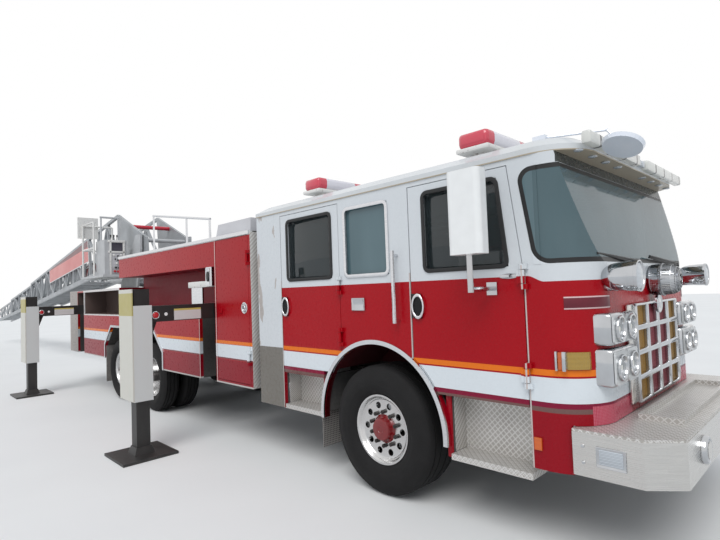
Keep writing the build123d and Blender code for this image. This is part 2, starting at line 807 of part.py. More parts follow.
# Turn lamps: flat lenses that wrap round the cab's front corners
turn_low = 1220
turn_high = 1330
turn_proud = 16
with BuildPart() as turn_lamps:
    add(cab_volume(-turn_proud, turn_low, turn_high).part)
    add(cab_volume(-slide_gap, cab_bottom, gutter_z).part, mode=Mode.SUBTRACT)
    with BuildSketch(Plane.XY.offset(turn_low)):
        for side in (-1, 1):
            with Locations((at(1688), side * (cab_half_width - 30))):
                Rectangle(164, 200)
    extrude(amount=turn_high - turn_low, mode=Mode.INTERSECT)

# Lenses: two pairs of lamps in the housings, the turn lamps and the side lamps
lens_thick = 12
with BuildPart() as lenses:
    add(turn_lamps.part)
    with BuildSketch(Plane.YZ.offset(at(cab_front + 55))):
        for low, high in housing_rows:
            with Locations((-965, (low + high) / 2), (-740, (low + high) / 2), (740, (low + high) / 2), (965, (low + high) / 2)):
                RectangleRounded(200, high - low - 30, 25)
    extrude(amount=lens_thick)
    for side in (-1, 1):
        with BuildSketch(Plane.XZ.offset(side * (cab_half_width + slide_gap))):
            with Locations((at(1455), 726)):
                Rectangle(50, 80)
        extrude(amount=side * 14)
save(lenses, "lamp_lenses")

# Light bars on the roof, on short feet
light_rows = ((950, 760, 290), (-1010, 700, 270))
with BuildPart() as light_bars:
    for station, length, depth in light_rows:
        for side in (-1, 1):
            with BuildSketch(Plane.XY.offset(roof_top + 25)) as bar_plan:
                with Locations((at(station), side * (cab_half_width - 160 - length / 2))):
                    RectangleRounded(depth, length, 60)
            extrude(amount=125, taper=6)
            with BuildSketch(Plane.XY.offset(roof_top + slide_gap)):
                with Locations((at(station), side * (cab_half_width - 160 - length / 2))):
                    Rectangle(depth - 140, length - 200)
            extrude(amount=25 - slide_gap)
save(light_bars, "light_bars")

# Seats: two in front, two facing back over the wheel boxes, three against the rear wall
seat_rows = (
    (640, -800, 1),
    (640, 800, 1),
    (-260, -850, -1),
    (-260, 850, -1),
    (-1360, -800, 1),
    (-1360, 0, 1),
    (-1360, 800, 1),
)
seat_base_top = 1440
with BuildPart() as seat_frames:
    for station, middle, facing in seat_rows:
        with BuildSketch(Plane.XY.offset(floor_top + slide_gap)):
            with Locations((at(station), middle)):
                Rectangle(380, 400)
        extrude(amount=seat_base_top - floor_top - slide_gap)
    # The bases stand on the wheel boxes where these come up through the floor
    with BuildSketch(Plane.XZ):
        with Locations((at(0), arch_z)):
            Circle(arch_radius + arch_skin + slide_gap)
    extrude(amount=cab_half_width, both=True, mode=Mode.SUBTRACT)
save(seat_frames, "seat_bases")
with BuildPart() as seats:
    for station, middle, facing in seat_rows:
        with BuildSketch(Plane.XY.offset(seat_base_top)):
            with Locations((at(station), middle)):
                RectangleRounded(460, 480, 50)
        extrude(amount=120)
        with BuildSketch(Plane.XY.offset(seat_base_top + 120 + slide_gap)):
            with Locations((at(station - facing * 200), middle)):
                RectangleRounded(110, 480, 40)
        extrude(amount=700)
save(seats, "seats")

# Dashboard, steering column and wheel
with BuildPart() as dash:
    with BuildSketch(Plane.XZ):
        Polygon(
            (at(1480), tunnel_top + slide_gap),
            (at(1400), 1700),
            (at(1440), 1850),
            (at(1700), 1870),
            (at(1760), 1840),
            (at(1760), tunnel_top + slide_gap),
            align=None,
        )
    extrude(amount=880, both=True)
    column = Plane(origin=(at(1440), 800, 1720), x_dir=(0, 1, 0), z_dir=(-0.75, 0, 0.66))
    with BuildSketch(column):
        Circle(32)
    extrude(amount=230)
    with BuildSketch(column.offset(205)):
        RegularPolygon(235, 24)
        RegularPolygon(205, 24, mode=Mode.SUBTRACT)
        Rectangle(420, 40)
    extrude(amount=30)
save(dash, "dashboard")


# Body: one folded shell on each side, with a tall compartment behind the cab, a notch for each
# outrigger, a tandem wheel arch and a long recess under the hose bed's side
tall_front, tall_rear = body_front, outrigger_openings[0][0]
shelf_thick = 40
recess_back = body_half_width - recess_depth
tall_seam = tall_front - body_skin
tall_hinge_heights = (1000, 2150)


def block(front, rear, low, high, out, inward):
    """Rows of a box cut in the right-hand body: stations, heights, and distances from the middle."""
    with BuildSketch(Plane.XZ.offset(inward)) as face:
        with Locations((at((front + rear) / 2), (low + high) / 2)):
            Rectangle(front - rear, high - low)
    return extrude(face.sketch, amount=out - inward)


with BuildPart() as body:
    with BuildSketch(Plane.XZ.offset(body_inner_y)):
        Polygon(
            (at(tall_front), body_bottom),
            (at(tall_front), body_top),
            (at(upper_panel_rear), body_top),
            (at(upper_panel_rear), platform_z),
            (at(truck_tail), platform_z),
            (at(truck_tail), body_bottom),
            (at(outrigger_openings[1][1]), body_bottom),
            (at(outrigger_openings[1][1]), platform_z - body_skin),
            (at(outrigger_openings[1][0]), platform_z - body_skin),
            (at(outrigger_openings[1][0]), body_bottom),
            (at(arch_rear_x), body_bottom),
            (at(arch_rear_x), arch_shoulder),
            (at(arch_rear_x + arch_slant), arch_top),
            (at(arch_front_x - arch_slant), arch_top),
            (at(arch_front_x), arch_shoulder),
            (at(arch_front_x), body_bottom),
            (at(outrigger_openings[0][1]), body_bottom),
            (at(outrigger_openings[0][1]), recess_top),
            (at(outrigger_openings[0][0]), recess_top),
            (at(outrigger_openings[0][0]), body_bottom),
            align=None,
        )
    extrude(amount=body_half_width - body_inner_y)
    # Cut rows: front, rear, low, high, out, inward
    for front, rear, low, high, out, inward in (
        (tall_front - body_skin, tall_rear + body_skin, body_bottom + body_skin, body_top - body_skin,
         body_half_width, body_inner_y + body_skin),
        (tall_rear - body_skin, upper_panel_rear + body_skin, recess_top + body_skin, body_top - body_skin,
         body_half_width - body_skin, body_inner_y),
        (outrigger_openings[0][1], upper_panel_rear, shelf_z, recess_top, body_half_width, recess_back),
        (upper_panel_rear, outrigger_openings[1][0] + body_skin, shelf_z, platform_z - body_skin,
         body_half_width, recess_back),
        (outrigger_openings[0][1], outrigger_openings[1][0] + body_skin, shelf_z, platform_z - body_skin,
         recess_back - body_skin, body_inner_y),
        (outrigger_openings[0][1] - body_skin, arch_front_x + body_skin, body_bottom + body_skin,
         shelf_z - shelf_thick, body_half_width - body_skin, body_inner_y),
        (arch_rear_x - body_skin, outrigger_openings[1][0] + body_skin, body_bottom + body_skin,
         shelf_z - shelf_thick, body_half_width - body_skin, body_inner_y),
        (arch_front_x - arch_slant, arch_rear_x + arch_slant, arch_top + body_skin, shelf_z - shelf_thick,
         body_half_width - body_skin, body_inner_y),
        (outrigger_openings[1][1] - body_skin, truck_tail + body_skin, body_bottom + body_skin,
         platform_z - body_skin, body_half_width - body_skin, body_inner_y),
    ):
        add(block(front, rear, low, high, out, inward), mode=Mode.SUBTRACT)
    # Hinge pins of the tall compartment's door
    for height in tall_hinge_heights:
        for low in (height - 40, height + hinge_span + 5):
            with BuildSketch(Plane.XY.offset(low)):
                with Locations((at(tall_seam + 18), -body_half_width - hinge_out / 2)):
                    Rectangle(36, hinge_out)
                with Locations((at(tall_seam), -body_half_width - hinge_out)):
                    Circle(pin_radius + 9)
            extrude(amount=35)
        with BuildSketch(Plane.XY.offset(height - 40)):
            with Locations((at(tall_seam), -body_half_width - hinge_out)):
                Circle(pin_radius)
        extrude(amount=hinge_span + 80)
save(body, "body_right")
save_mirrored(body, "body_left")

# Door of the tall compartment, with a round latch
with BuildPart() as tall_door:
    with BuildSketch(Plane.XZ.offset(body_half_width)):
        Polygon(
            (at(tall_seam - door_gap), body_bottom + body_skin + door_gap),
            (at(tall_seam - door_gap), body_top - body_skin - door_gap),
            (at(tall_rear + body_skin + door_swing_gap), body_top - body_skin - door_gap),
            (at(tall_rear + body_skin + door_swing_gap), body_bottom + body_skin + door_gap),
            align=None,
        )
    extrude(amount=-body_skin)
    for height in tall_hinge_heights:
        with BuildSketch(Plane.XY.offset(height)):
            with Locations((at(tall_seam - 20), -body_half_width - hinge_out / 2)):
                Rectangle(40, hinge_out)
            with Locations((at(tall_seam), -body_half_width - hinge_out)):
                Circle(pin_radius + 9)
                Circle(pin_radius + running_gap, mode=Mode.SUBTRACT)
        extrude(amount=hinge_span)
    with BuildSketch(Plane.XZ.offset(body_half_width)):
        with Locations((at(tall_rear + 160), 1600)):
            RegularPolygon(45, 16)
    extrude(amount=12)
save(tall_door, "compartment_door_right")
save_mirrored(tall_door, "compartment_door_left")

# Hose bed floor and the boxes over the frame, between the two sides of the body
with BuildPart() as hose_bed:
    bed_floor = 2140
    with BuildSketch(Plane.YZ.offset(at(upper_panel_rear))):
        Rectangle(2 * (body_inner_y - slide_gap), 2 * body_top)
        Rectangle(2 * (body_inner_y - slide_gap), 2 * bed_floor, mode=Mode.SUBTRACT)
        with Locations((0, (bed_floor + body_top) / 2 + body_skin)):
            Rectangle(2 * (body_inner_y - slide_gap - body_skin), body_top - bed_floor, mode=Mode.SUBTRACT)
        with Locations((0, -body_top)):
            Rectangle(4 * body_inner_y, 2 * body_top, mode=Mode.SUBTRACT)
    extrude(amount=body_front - upper_panel_rear - 12)
    # Posts down to the torque box
    with BuildSketch(Plane.XY.offset(housing_base)):
        for station in (-2600, -4200, -5900):
            with Locations((at(station), 0)):
                with GridLocations(0, 700, 1, 2):
                    Rectangle(80, 80)
    extrude(amount=bed_floor - housing_base)
    # Low hatch boxes on top of the two tall compartments
    for side in (-1, 1):
        with BuildSketch(Plane.XY.offset(body_top + slide_gap)):
            with Locations((at(-2390), side * 945)):
                Rectangle(820, 500)
        extrude(amount=176, taper=8)
save(hose_bed, "hose_bed")

# Outriggers: sliding beam with the jack's outer tube and cover on its end, and the jack leg
cap_top = 1878
cover_low = 620


def make_beam(opening, side):
    middle = (opening[0] + opening[1]) / 2
    beam_x = middle + side * beam_stagger / 2
    with BuildPart() as beam:
        with BuildSketch(Plane.XZ.offset(side * (leg_out - beam_length))):
            with Locations((at(beam_x), beam_top - beam_height / 2)):
                Rectangle(beam_width, beam_height)
        extrude(amount=side * beam_length)
        with BuildSketch(Plane.XY.offset(leg_bottom)):
            with Locations((at(beam_x), -side * leg_out)):
                Rectangle(leg_size, leg_size)
        extrude(amount=leg_top - leg_bottom)
        with BuildSketch(Plane.XY.offset(leg_top)):
            with Locations((at(beam_x), -side * leg_out)):
                Rectangle(leg_size - 40, leg_size - 40)
        extrude(amount=cap_top - leg_top)
        # Gusset under the beam
        with BuildSketch(Plane.YZ.offset(at(beam_x - 15))):
            Polygon(
                (-side * (leg_out - leg_size / 2 + 5), beam_top - beam_height),
                (-side * (leg_out - leg_size / 2 - 90), beam_top - beam_height),
                (-side * (leg_out - leg_size / 2 + 5), beam_top - beam_height - 260),
                align=None,
            )
        extrude(amount=30)
        with BuildSketch(Plane.XZ.offset(side * (leg_out + leg_size / 2))):
            with Locations((at(middle), (cover_low + cap_top) / 2)):
                Rectangle(opening[0] - opening[1] - 22, cap_top - cover_low)
        extrude(amount=side * cover_thick)
        # Bore for the leg
        with BuildSketch(Plane.XY.offset(leg_bottom)):
            with Locations((at(beam_x), -side * leg_out)):
                Rectangle(inner_leg_size + 2 * slide_gap, inner_leg_size + 2 * slide_gap)
        extrude(amount=leg_top - leg_bottom - 10, mode=Mode.SUBTRACT)
    return beam


def make_leg(opening, side):
    beam_x = (opening[0] + opening[1]) / 2 + side * beam_stagger / 2
    with BuildPart() as leg:
        with BuildSketch(Plane.XY):
            with Locations((at(beam_x), -side * leg_out)):
                Rectangle(pad_size, pad_size)
        extrude(amount=pad_thick)
        with BuildSketch(Plane.XY.offset(pad_thick)):
            with Locations((at(beam_x), -side * leg_out)):
                Rectangle(220, 220)
        extrude(amount=80, taper=18)
        with BuildSketch(Plane.XY.offset(pad_thick)):
            with Locations((at(beam_x), -side * leg_out)):
                Rectangle(inner_leg_size, inner_leg_size)
        extrude(amount=1100 - pad_thick)
    return leg


for end, opening in zip(("front", "rear"), outrigger_openings):
    for hand, side in (("right", 1), ("left", -1)):
        save(make_beam(opening, side), f"outrigger_beam_{end}_{hand}")
        save(make_leg(opening, side), f"jack_leg_{end}_{hand}")

# Pedestal of the turntable, bolted to the torque box
housing_top = beam_top + housing_wall
with BuildPart() as pedestal:
    with BuildSketch(Plane.XY.offset(housing_base)):
        with Locations((at(turntable_x + 120), 0)):
            Rectangle(780, 900)
    extrude(amount=housing_top - housing_base)
    with BuildSketch(Plane.XY.offset(housing_top + slide_gap)):
        with Locations((at(turntable_x), 0)):
            Circle(pedestal_radius)
    extrude(amount=pedestal_top - housing_top - slide_gap)
    with BuildSketch(Plane.XY.offset(housing_top - 5)):
        with Locations((at(turntable_x + 120), 0)):
            Rectangle(700, 700)
    extrude(amount=10)
save(pedestal, "turntable_pedestal")

# Turntable: ring plate, the two side frames that hold the ladder's heel, the cylinder pin and
# the operator's platform with its console and rails
deck_plate = 45
frame_in = 500
frame_foot_half = 285
flare_z = 2000
frame_thick = 40
heel_pin = 40
lift_low_x = -7350
lift_low_z = 2080
lift_pin = 35
deck_z = 2215
console_x = -7700
deck_out = 1180
deck_front = -7250
deck_rear = -8650
rail_tube = 20
console_tall = 700
hoop_out = 1070
hoop_in = 740
hoop_top = 3440
hoop_tube = 18
with BuildPart() as turntable:
    with BuildSketch(Plane.XY.offset(pedestal_top + slide_gap)):
        with Locations((at(turntable_x), 0)):
            Circle(turntable_radius)
    extrude(amount=turntable_thick)
    frame_foot = pedestal_top + slide_gap + turntable_thick
    for side in (-1, 1):
        with BuildSketch(Plane.XZ.offset(side * frame_in)):
            Polygon(
                (at(turntable_x - frame_foot_half), frame_foot - 10),
                (at(turntable_x + frame_foot_half), frame_foot - 10),
                (at(turntable_x + frame_foot_half), flare_z),
                (at(lift_low_x + 90), flare_z),
                (at(heel_x + 90), heel_z - 200),
                (at(heel_x + 90), heel_z + 110),
                (at(heel_x - 160), heel_z + 110),
                (at(turntable_x - frame_foot_half), frame_foot + 250),
                align=None,
            )
        extrude(amount=side * frame_thick)
    for station, height, radius in ((heel_x, heel_z, heel_pin), (lift_low_x, lift_low_z, lift_pin)):
        with BuildSketch(Plane.XZ):
            with Locations((at(station), height)):
                Circle(radius)
        extrude(amount=frame_in + 10, both=True)
    # Operator's platform on the near side
    with BuildSketch(Plane.XY.offset(deck_z)):
        with Locations((at((deck_front + deck_rear) / 2), -(frame_in + deck_out) / 2)):
            Rectangle(deck_front - deck_rear, deck_out - frame_in)
    extrude(amount=deck_plate)
    with BuildSketch(Plane.XY.offset(deck_z + deck_plate)):
        with Locations((at(console_x), -(frame_in + deck_out) / 2 - 40)):
            Rectangle(520, 420)
    extrude(amount=console_tall)
    # Hoop over the console
    hoop_foot = deck_z + deck_plate + console_tall - 5
    bar_between((console_x, -hoop_out, hoop_foot), (console_x, -hoop_out, hoop_top), hoop_tube)
    bar_between((console_x, -hoop_in, hoop_foot), (console_x, -hoop_in, hoop_top), hoop_tube)
    bar_between((console_x, -hoop_out - hoop_tube, hoop_top), (console_x, -hoop_in + hoop_tube, hoop_top), hoop_tube + 2)
save(turntable, "turntable")

# Ladder sections: each is a pair of lattice sides joined by rungs, and each slides in the one below.
# The ladder's own plane starts at the heel pin, runs out along the ladder and up across it
rung_pitch = 355
rung_width = 38
rung_depth = 30
lattice_bar = 42
rail_tube_depth = 62


def ladder_plane(along, across):
    """Plane of a ladder side: X out along the ladder from the heel, Y square to it, normal +Y."""
    origin = (at(heel_x) - along * ladder_cos, across, heel_z - along * ladder_sin)
    return Plane(origin=origin, x_dir=(-ladder_cos, 0, -ladder_sin), z_dir=(0, 1, 0))


def lattice_side(start, length, inner, thick, low, top_heel, top_tip, slope_run, bays):
    """One side of a section as a sketch: an outline with two triangles cut in each bay."""
    first = slope_run
    last = length - 70
    pitch = (last - first) / bays
    with BuildSketch(ladder_plane(start, -inner)) as side:
        Polygon(
            (0, low),
            (length, low),
            (length, top_tip),
            (slope_run, top_heel),
            (0, low + chord_depth + 220),
            align=None,
        )
        for bay in range(bays):
            near = first + bay * pitch + lattice_bar / 2
            far = first + (bay + 1) * pitch - lattice_bar / 2
            floor = low + chord_depth
            near_top = top_heel + (top_tip - top_heel) * (near - first) / (length - first) - rail_tube_depth
            far_top = top_heel + (top_tip - top_heel) * (far - first) / (length - first) - rail_tube_depth
            rise = (near_top + far_top) / 2 - floor
            run = far - near
            span = sqrt(rise * rise + run * run)
            run_cut = lattice_bar / 2 * span / rise
            rise_cut = lattice_bar / 2 * span / run
            if bay % 2 == 0:
                Polygon(
                    (near + run_cut, floor), (far, floor), (far, far_top - rise_cut), align=None, mode=Mode.SUBTRACT
                )
                Polygon(
                    (near, floor + rise_cut), (far - run_cut, far_top), (near, near_top), align=None, mode=Mode.SUBTRACT
                )
            else:
                Polygon(
                    (near, floor), (far - run_cut, floor), (near, near_top - rise_cut), align=None, mode=Mode.SUBTRACT
                )
                Polygon(
                    (far, floor + rise_cut), (far, far_top), (near + run_cut, near_top), align=None, mode=Mode.SUBTRACT
                )
    return extrude(side.sketch, amount=-thick)


# Section rows: start along the ladder, length, inner half width, side thickness, underside of the
# chords, underside of the rungs, top at the heel, top at the tip, run of the slope, bays
mid_start = mid_tucked + extension
sections = {
    "base": (-180, base_length + 180, 410, 60, -300, -262, 850, 520, 1500, 12),
    "mid": (mid_start, mid_length, 330, 55, -222, -205, 640, 430, 700, 12),
    "fly": (fly_start, fly_length, 262, 44, -165, -148, 500, 330, 700, 12),
}
pad_gap = 0.3
pad_length = 200
lug_out = 440
lug_half = 30
rod_out = 300
eye_width = 104
lift_high_along = 2700
lift_high_drop = -400


def make_section(name):
    start, length, inner, thick, low, rung_low, top_heel, top_tip, slope_run, bays = sections[name]
    right = lattice_side(start, length, inner, thick, low, top_heel, top_tip, slope_run, bays)
    with BuildPart() as section:
        add(right)
        add(mirror(right, about=Plane.XZ, mode=Mode.PRIVATE))
        rungs = int((length - 400) / rung_pitch)
        with BuildSketch(ladder_plane(start, -inner - 1)):
            with Locations((240 + (rungs - 1) * rung_pitch / 2, rung_low + rung_depth / 2)):
                with GridLocations(rung_pitch, 0, rungs, 1):
                    Rectangle(rung_width, rung_depth)
        extrude(amount=2 * inner + 2)
    return section


def add_slide_pads(name, carried):
    """Pads at a section's tip, beside and under the chords of the section that slides in it."""
    start, length, inner, thick, low, rung_low = sections[name][:6]
    carried_inner, carried_thick, carried_low = sections[carried][2:5]
    # Pad rows: underside, top, inner edge
    for bottom, top, edge in (
        (rung_low, carried_low - pad_gap, carried_inner),
        (rung_low, low + chord_depth, carried_inner + carried_thick + pad_gap),
    ):
        with BuildSketch(ladder_plane(start, -inner - 1)) as pad:
            with Locations((length - 160, (bottom + top) / 2)):
                Rectangle(pad_length, top - bottom)
        block_of_pad = extrude(pad.sketch, amount=inner + 1 - edge, mode=Mode.PRIVATE)
        add(block_of_pad)
        add(mirror(block_of_pad, about=Plane.XZ, mode=Mode.PRIVATE))


def add_heel_pads(name, carrier):
    """Pads on a section's heel that run along the inner faces of the section that carries it."""
    start, length, inner, thick, low = sections[name][:5]
    outer = inner + thick - 1
    reach = sections[carrier][2] - pad_gap - outer
    with BuildSketch(ladder_plane(start, -outer)) as pad:
        with Locations((140, low + chord_depth / 2)):
            Rectangle(pad_length, chord_depth)
    block_of_pad = extrude(pad.sketch, amount=-reach, mode=Mode.PRIVATE)
    add(block_of_pad)
    add(mirror(block_of_pad, about=Plane.XZ, mode=Mode.PRIVATE))


with BuildPart() as ladder_base:
    add(make_section("base").part)
    # Heel lugs round the heel pin, and the lugs and pins that take the lift rods
    for side in (-1, 1):
        with BuildSketch(ladder_plane(0, side * lug_out)):
            Polygon((-180, -200), (-110, 90), (110, 90), (600, -200), align=None)
            Polygon(
                (lift_high_along - 260, -280),
                (lift_high_along - 70, lift_high_drop - 70),
                (lift_high_along + 70, lift_high_drop - 70),
                (lift_high_along + 260, -280),
                align=None,
            )
        extrude(amount=lug_half, both=True)
        with BuildSketch(ladder_plane(0, side * (rod_out + eye_width / 2 + pad_gap))):
            with Locations((lift_high_along, lift_high_drop)):
                Circle(lift_pin)
        extrude(amount=side * (lug_out - rod_out - eye_width / 2 - pad_gap))
    with BuildSketch(ladder_plane(0, 0)):
        Circle(heel_pin + running_gap)
    extrude(amount=480, both=True, mode=Mode.SUBTRACT)
    add_slide_pads("base", "mid")
save(ladder_base, "ladder_base")

with BuildPart() as ladder_mid:
    add(make_section("mid").part)
    add_slide_pads("mid", "fly")
    add_heel_pads("mid", "base")
save(ladder_mid, "ladder_mid")

with BuildPart() as ladder_fly:
    add(make_section("fly").part)
    add_heel_pads("fly", "mid")
save(ladder_fly, "ladder_fly")

# Blank boards along both sides of the base section
board_gap = 0.3
board_thick = 12
with BuildPart() as boards:
    for side in (-1, 1):
        with BuildSketch(ladder_plane(0, side * (sections["base"][2] + sections["base"][3] + board_gap))):
            Polygon((3450, 150), (7350, 150), (7350, 550), (3450, 700), align=None)
        extrude(amount=side * board_thick)
    # Cross tube between the sloping chords near the heel
    with BuildSketch(ladder_plane(0, -sections["base"][2] + board_gap)):
        with Locations((700, 440)):
            RegularPolygon(42, 12)
    extrude(amount=2 * (sections["base"][2] - board_gap))
save(boards, "ladder_boards")

# Lift cylinders: the barrels turn on the turntable's pin, and the rods run out to the ladder's lugs
high_x = heel_x - lift_high_along * ladder_cos - lift_high_drop * ladder_sin
high_z = heel_z - lift_high_along * ladder_sin + lift_high_drop * ladder_cos
lift_length = sqrt((high_x - lift_low_x) ** 2 + (high_z - lift_low_z) ** 2)
lift_dir = ((high_x - lift_low_x) / lift_length, 0, (high_z - lift_low_z) / lift_length)
barrel_radius = 90
rod_radius = 50
barrel_length = 2050
rod_start = 450


def lift_plane(along, across):
    """Plane square to a lift cylinder, a distance along it from its lower pin."""
    origin = (at(lift_low_x) + along * lift_dir[0], across, lift_low_z + along * lift_dir[2])
    return Plane(origin=origin, x_dir=(0, 1, 0), z_dir=lift_dir)


with BuildPart() as barrels:
    for side in (-1, 1):
        with BuildSketch(lift_plane(50, side * rod_out)):
            Circle(barrel_radius)
        extrude(amount=barrel_length - 50)
        with BuildSketch(Plane.XZ.offset(side * rod_out - eye_width / 2)):
            with Locations((at(lift_low_x), lift_low_z)):
                Circle(lift_pin + 30)
        extrude(amount=eye_width)
        with BuildSketch(lift_plane(rod_start - 100, side * rod_out)):
            Circle(rod_radius + running_gap)
        extrude(amount=barrel_length, mode=Mode.SUBTRACT)
        with BuildSketch(Plane.XZ.offset(side * rod_out - eye_width)):
            with Locations((at(lift_low_x), lift_low_z)):
                Circle(lift_pin + running_gap)
        extrude(amount=2 * eye_width, mode=Mode.SUBTRACT)
save(barrels, "lift_barrels")

with BuildPart() as rods:
    for side in (-1, 1):
        with BuildSketch(lift_plane(rod_start, side * rod_out)):
            Circle(rod_radius)
        extrude(amount=lift_length - rod_start - 20)
        with BuildSketch(Plane.XZ.offset(side * rod_out - eye_width / 2)):
            with Locations((at(high_x), high_z)):
                Circle(lift_pin + 35)
        extrude(amount=eye_width)
        with BuildSketch(Plane.XZ.offset(side * rod_out - eye_width)):
            with Locations((at(high_x), high_z)):
                Circle(lift_pin + 5)
        extrude(amount=2 * eye_width, mode=Mode.SUBTRACT)
save(rods, "lift_rods")

# Bright trim: fender arcs, edging of the rear arches, and grab rails behind the front doors
fender_proud = 22
fender_wide = 38
edging_proud = 12
grab_x = 290
grab_out = 60
strip_high = 40
lamp_box_low = 1900
guard_out = 1200
# Guard posts: station, height of the top
guard_rows = ((-2940, 2777), (-3610, 2883), (-4745, 3063))
with BuildPart() as trim:
    for side in (-1, 1):
        with BuildSketch(Plane.XZ.offset(side * (cab_half_width + slide_gap))):
            with Locations((at(0), arch_z)):
                Circle(arch_radius + fender_wide)
                Circle(arch_radius, mode=Mode.SUBTRACT)
            with Locations((at(0), cab_bottom - arch_radius)):
                Rectangle(3 * arch_radius, 2 * arch_radius, mode=Mode.SUBTRACT)
        extrude(amount=side * fender_proud)
        with BuildSketch(Plane.XZ.offset(side * (body_half_width + slide_gap))):
            for wide, mode in ((fender_wide, Mode.ADD), (0, Mode.SUBTRACT)):
                Polygon(
                    (at(arch_rear_x - wide), body_bottom),
                    (at(arch_rear_x - wide), arch_shoulder + wide / 2),
                    (at(arch_rear_x + arch_slant - wide / 2), arch_top + wide),
                    (at(arch_front_x - arch_slant + wide / 2), arch_top + wide),
                    (at(arch_front_x + wide), arch_shoulder + wide / 2),
                    (at(arch_front_x + wide), body_bottom),
                    align=None,
                    mode=mode,
                )
        extrude(amount=side * edging_proud)
        with BuildSketch(Plane.XY.offset(1490)):
            with Locations((at(grab_x), side * (cab_half_width + grab_out))):
                RegularPolygon(17, 8)
        extrude(amount=600)
        for height in (1510, 2050):
            with BuildSketch(Plane.XZ.offset(side * (cab_half_width + slide_gap))):
                with Locations((at(grab_x), height)):
                    RegularPolygon(14, 8)
            extrude(amount=side * grab_out)
        # Strip along the top edge of the body
        with BuildSketch(Plane.XZ.offset(side * (body_half_width + slide_gap))):
            with Locations((at((body_front + upper_panel_rear) / 2), body_top - strip_high / 2 + 6)):
                Rectangle(body_front - upper_panel_rear - 10, strip_high)
        extrude(amount=side * edging_proud)
        # Lamp box under the upper panel, over the front outrigger
        with BuildSketch(Plane.XY.offset(lamp_box_low)):
            with Locations((at(-2872), side * (body_half_width - 65))):
                RectangleRounded(140, 150, 20)
        extrude(amount=recess_top - slide_gap - lamp_box_low)
    # Guard rail on the top edge of the near side
    for station, high in guard_rows:
        bar_between((station, -guard_out, body_top + slide_gap), (station, -guard_out, high), 15)
    bar_between((guard_rows[0][0] + 15, -guard_out, guard_rows[0][1]), (guard_rows[-1][0] - 15, -guard_out, guard_rows[-1][1]), 16)
    # Gauge plate that stands in the recess behind the front outrigger
    with BuildSketch(Plane.XY.offset(shelf_z + slide_gap)):
        with Locations((at(-3325), -body_half_width + 70)):
            Rectangle(310, 22)
    extrude(amount=470)
save(trim, "bright_trim")

# Guard rails round the operator's platform
rail_inset = 30
guard_heights = (2830, 3360)
guard_front = deck_rear + 760
with BuildPart() as guard:
    for station, out in (
        (guard_front, deck_out - rail_inset),
        (deck_rear + rail_inset, deck_out - rail_inset),
        (deck_rear + rail_inset, frame_in + 2 * rail_inset),
    ):
        with BuildSketch(Plane.XY.offset(deck_z + deck_plate + slide_gap)):
            with Locations((at(station), -out)):
                RegularPolygon(rail_tube, 8)
        extrude(amount=guard_heights[-1] - deck_z - deck_plate)
    for height in guard_heights:
        with BuildSketch(Plane.YZ.offset(at(deck_rear + rail_inset))):
            with Locations((-deck_out + rail_inset, height)):
                RegularPolygon(rail_tube - 2, 8)
        extrude(amount=guard_front - deck_rear - rail_inset)
        with BuildSketch(Plane.XZ.offset(frame_in + 2 * rail_inset)):
            with Locations((at(deck_rear + rail_inset), height)):
                RegularPolygon(rail_tube - 2, 8)
        extrude(amount=deck_out - frame_in - 3 * rail_inset)
    # Screen panel on the rear rail
    with BuildSketch(Plane.YZ.offset(at(deck_rear + rail_inset - rail_tube + 5))):
        with Locations((-1040, 3325)):
            Rectangle(400, 450)
    extrude(amount=-50)
save(guard, "platform_rails")
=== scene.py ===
import bpy
from contextlib import contextmanager
from math import atan2, cos, hypot, pi, radians, sin
from mathutils import Matrix, Vector


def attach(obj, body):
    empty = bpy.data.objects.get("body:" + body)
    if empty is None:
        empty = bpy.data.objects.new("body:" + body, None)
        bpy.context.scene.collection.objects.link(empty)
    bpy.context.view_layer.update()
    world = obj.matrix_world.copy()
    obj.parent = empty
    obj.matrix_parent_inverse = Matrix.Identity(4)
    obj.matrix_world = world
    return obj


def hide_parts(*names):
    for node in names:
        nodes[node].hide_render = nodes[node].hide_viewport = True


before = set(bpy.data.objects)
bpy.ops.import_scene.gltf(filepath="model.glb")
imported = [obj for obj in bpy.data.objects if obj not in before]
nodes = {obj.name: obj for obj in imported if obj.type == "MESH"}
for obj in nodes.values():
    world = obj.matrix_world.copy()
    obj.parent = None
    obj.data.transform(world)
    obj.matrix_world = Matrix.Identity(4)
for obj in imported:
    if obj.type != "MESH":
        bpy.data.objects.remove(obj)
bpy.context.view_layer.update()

# The view: a photographer's eye-level view of the truck's near front corner, across the yard.
# The camera keeps the photograph's height, angle and field of view, and has no blur.
camera_data = bpy.data.cameras.new("yard_camera")
camera_data.lens = 24.593
camera_data.sensor_width = 36
camera_data.clip_end = 400
camera = bpy.data.objects.new("yard_camera", camera_data)
bpy.context.scene.collection.objects.link(camera)
sight_right = Vector((0.70177192, 0.7114461, -0.03688653))
sight_up = Vector((0.05503446, -0.00251758, 0.99848128))
sight_back = Vector((0.71027275, -0.70273616, -0.04092082))
sight_turn = Matrix((sight_right, sight_up, sight_back)).transposed().to_4x4()
camera.matrix_world = Matrix.Translation((14.45556, -4.32761, 1.77373)) @ sight_turn
bpy.context.scene.camera = camera
bpy.context.scene.view_settings.view_transform = "Standard"

# The ground: a wide pale sheet that the tyres and the outrigger pads stand on. It keeps the
# truck's shadow and shows white beyond it, as a seamless studio floor does.
front_axle_x = 11.46903


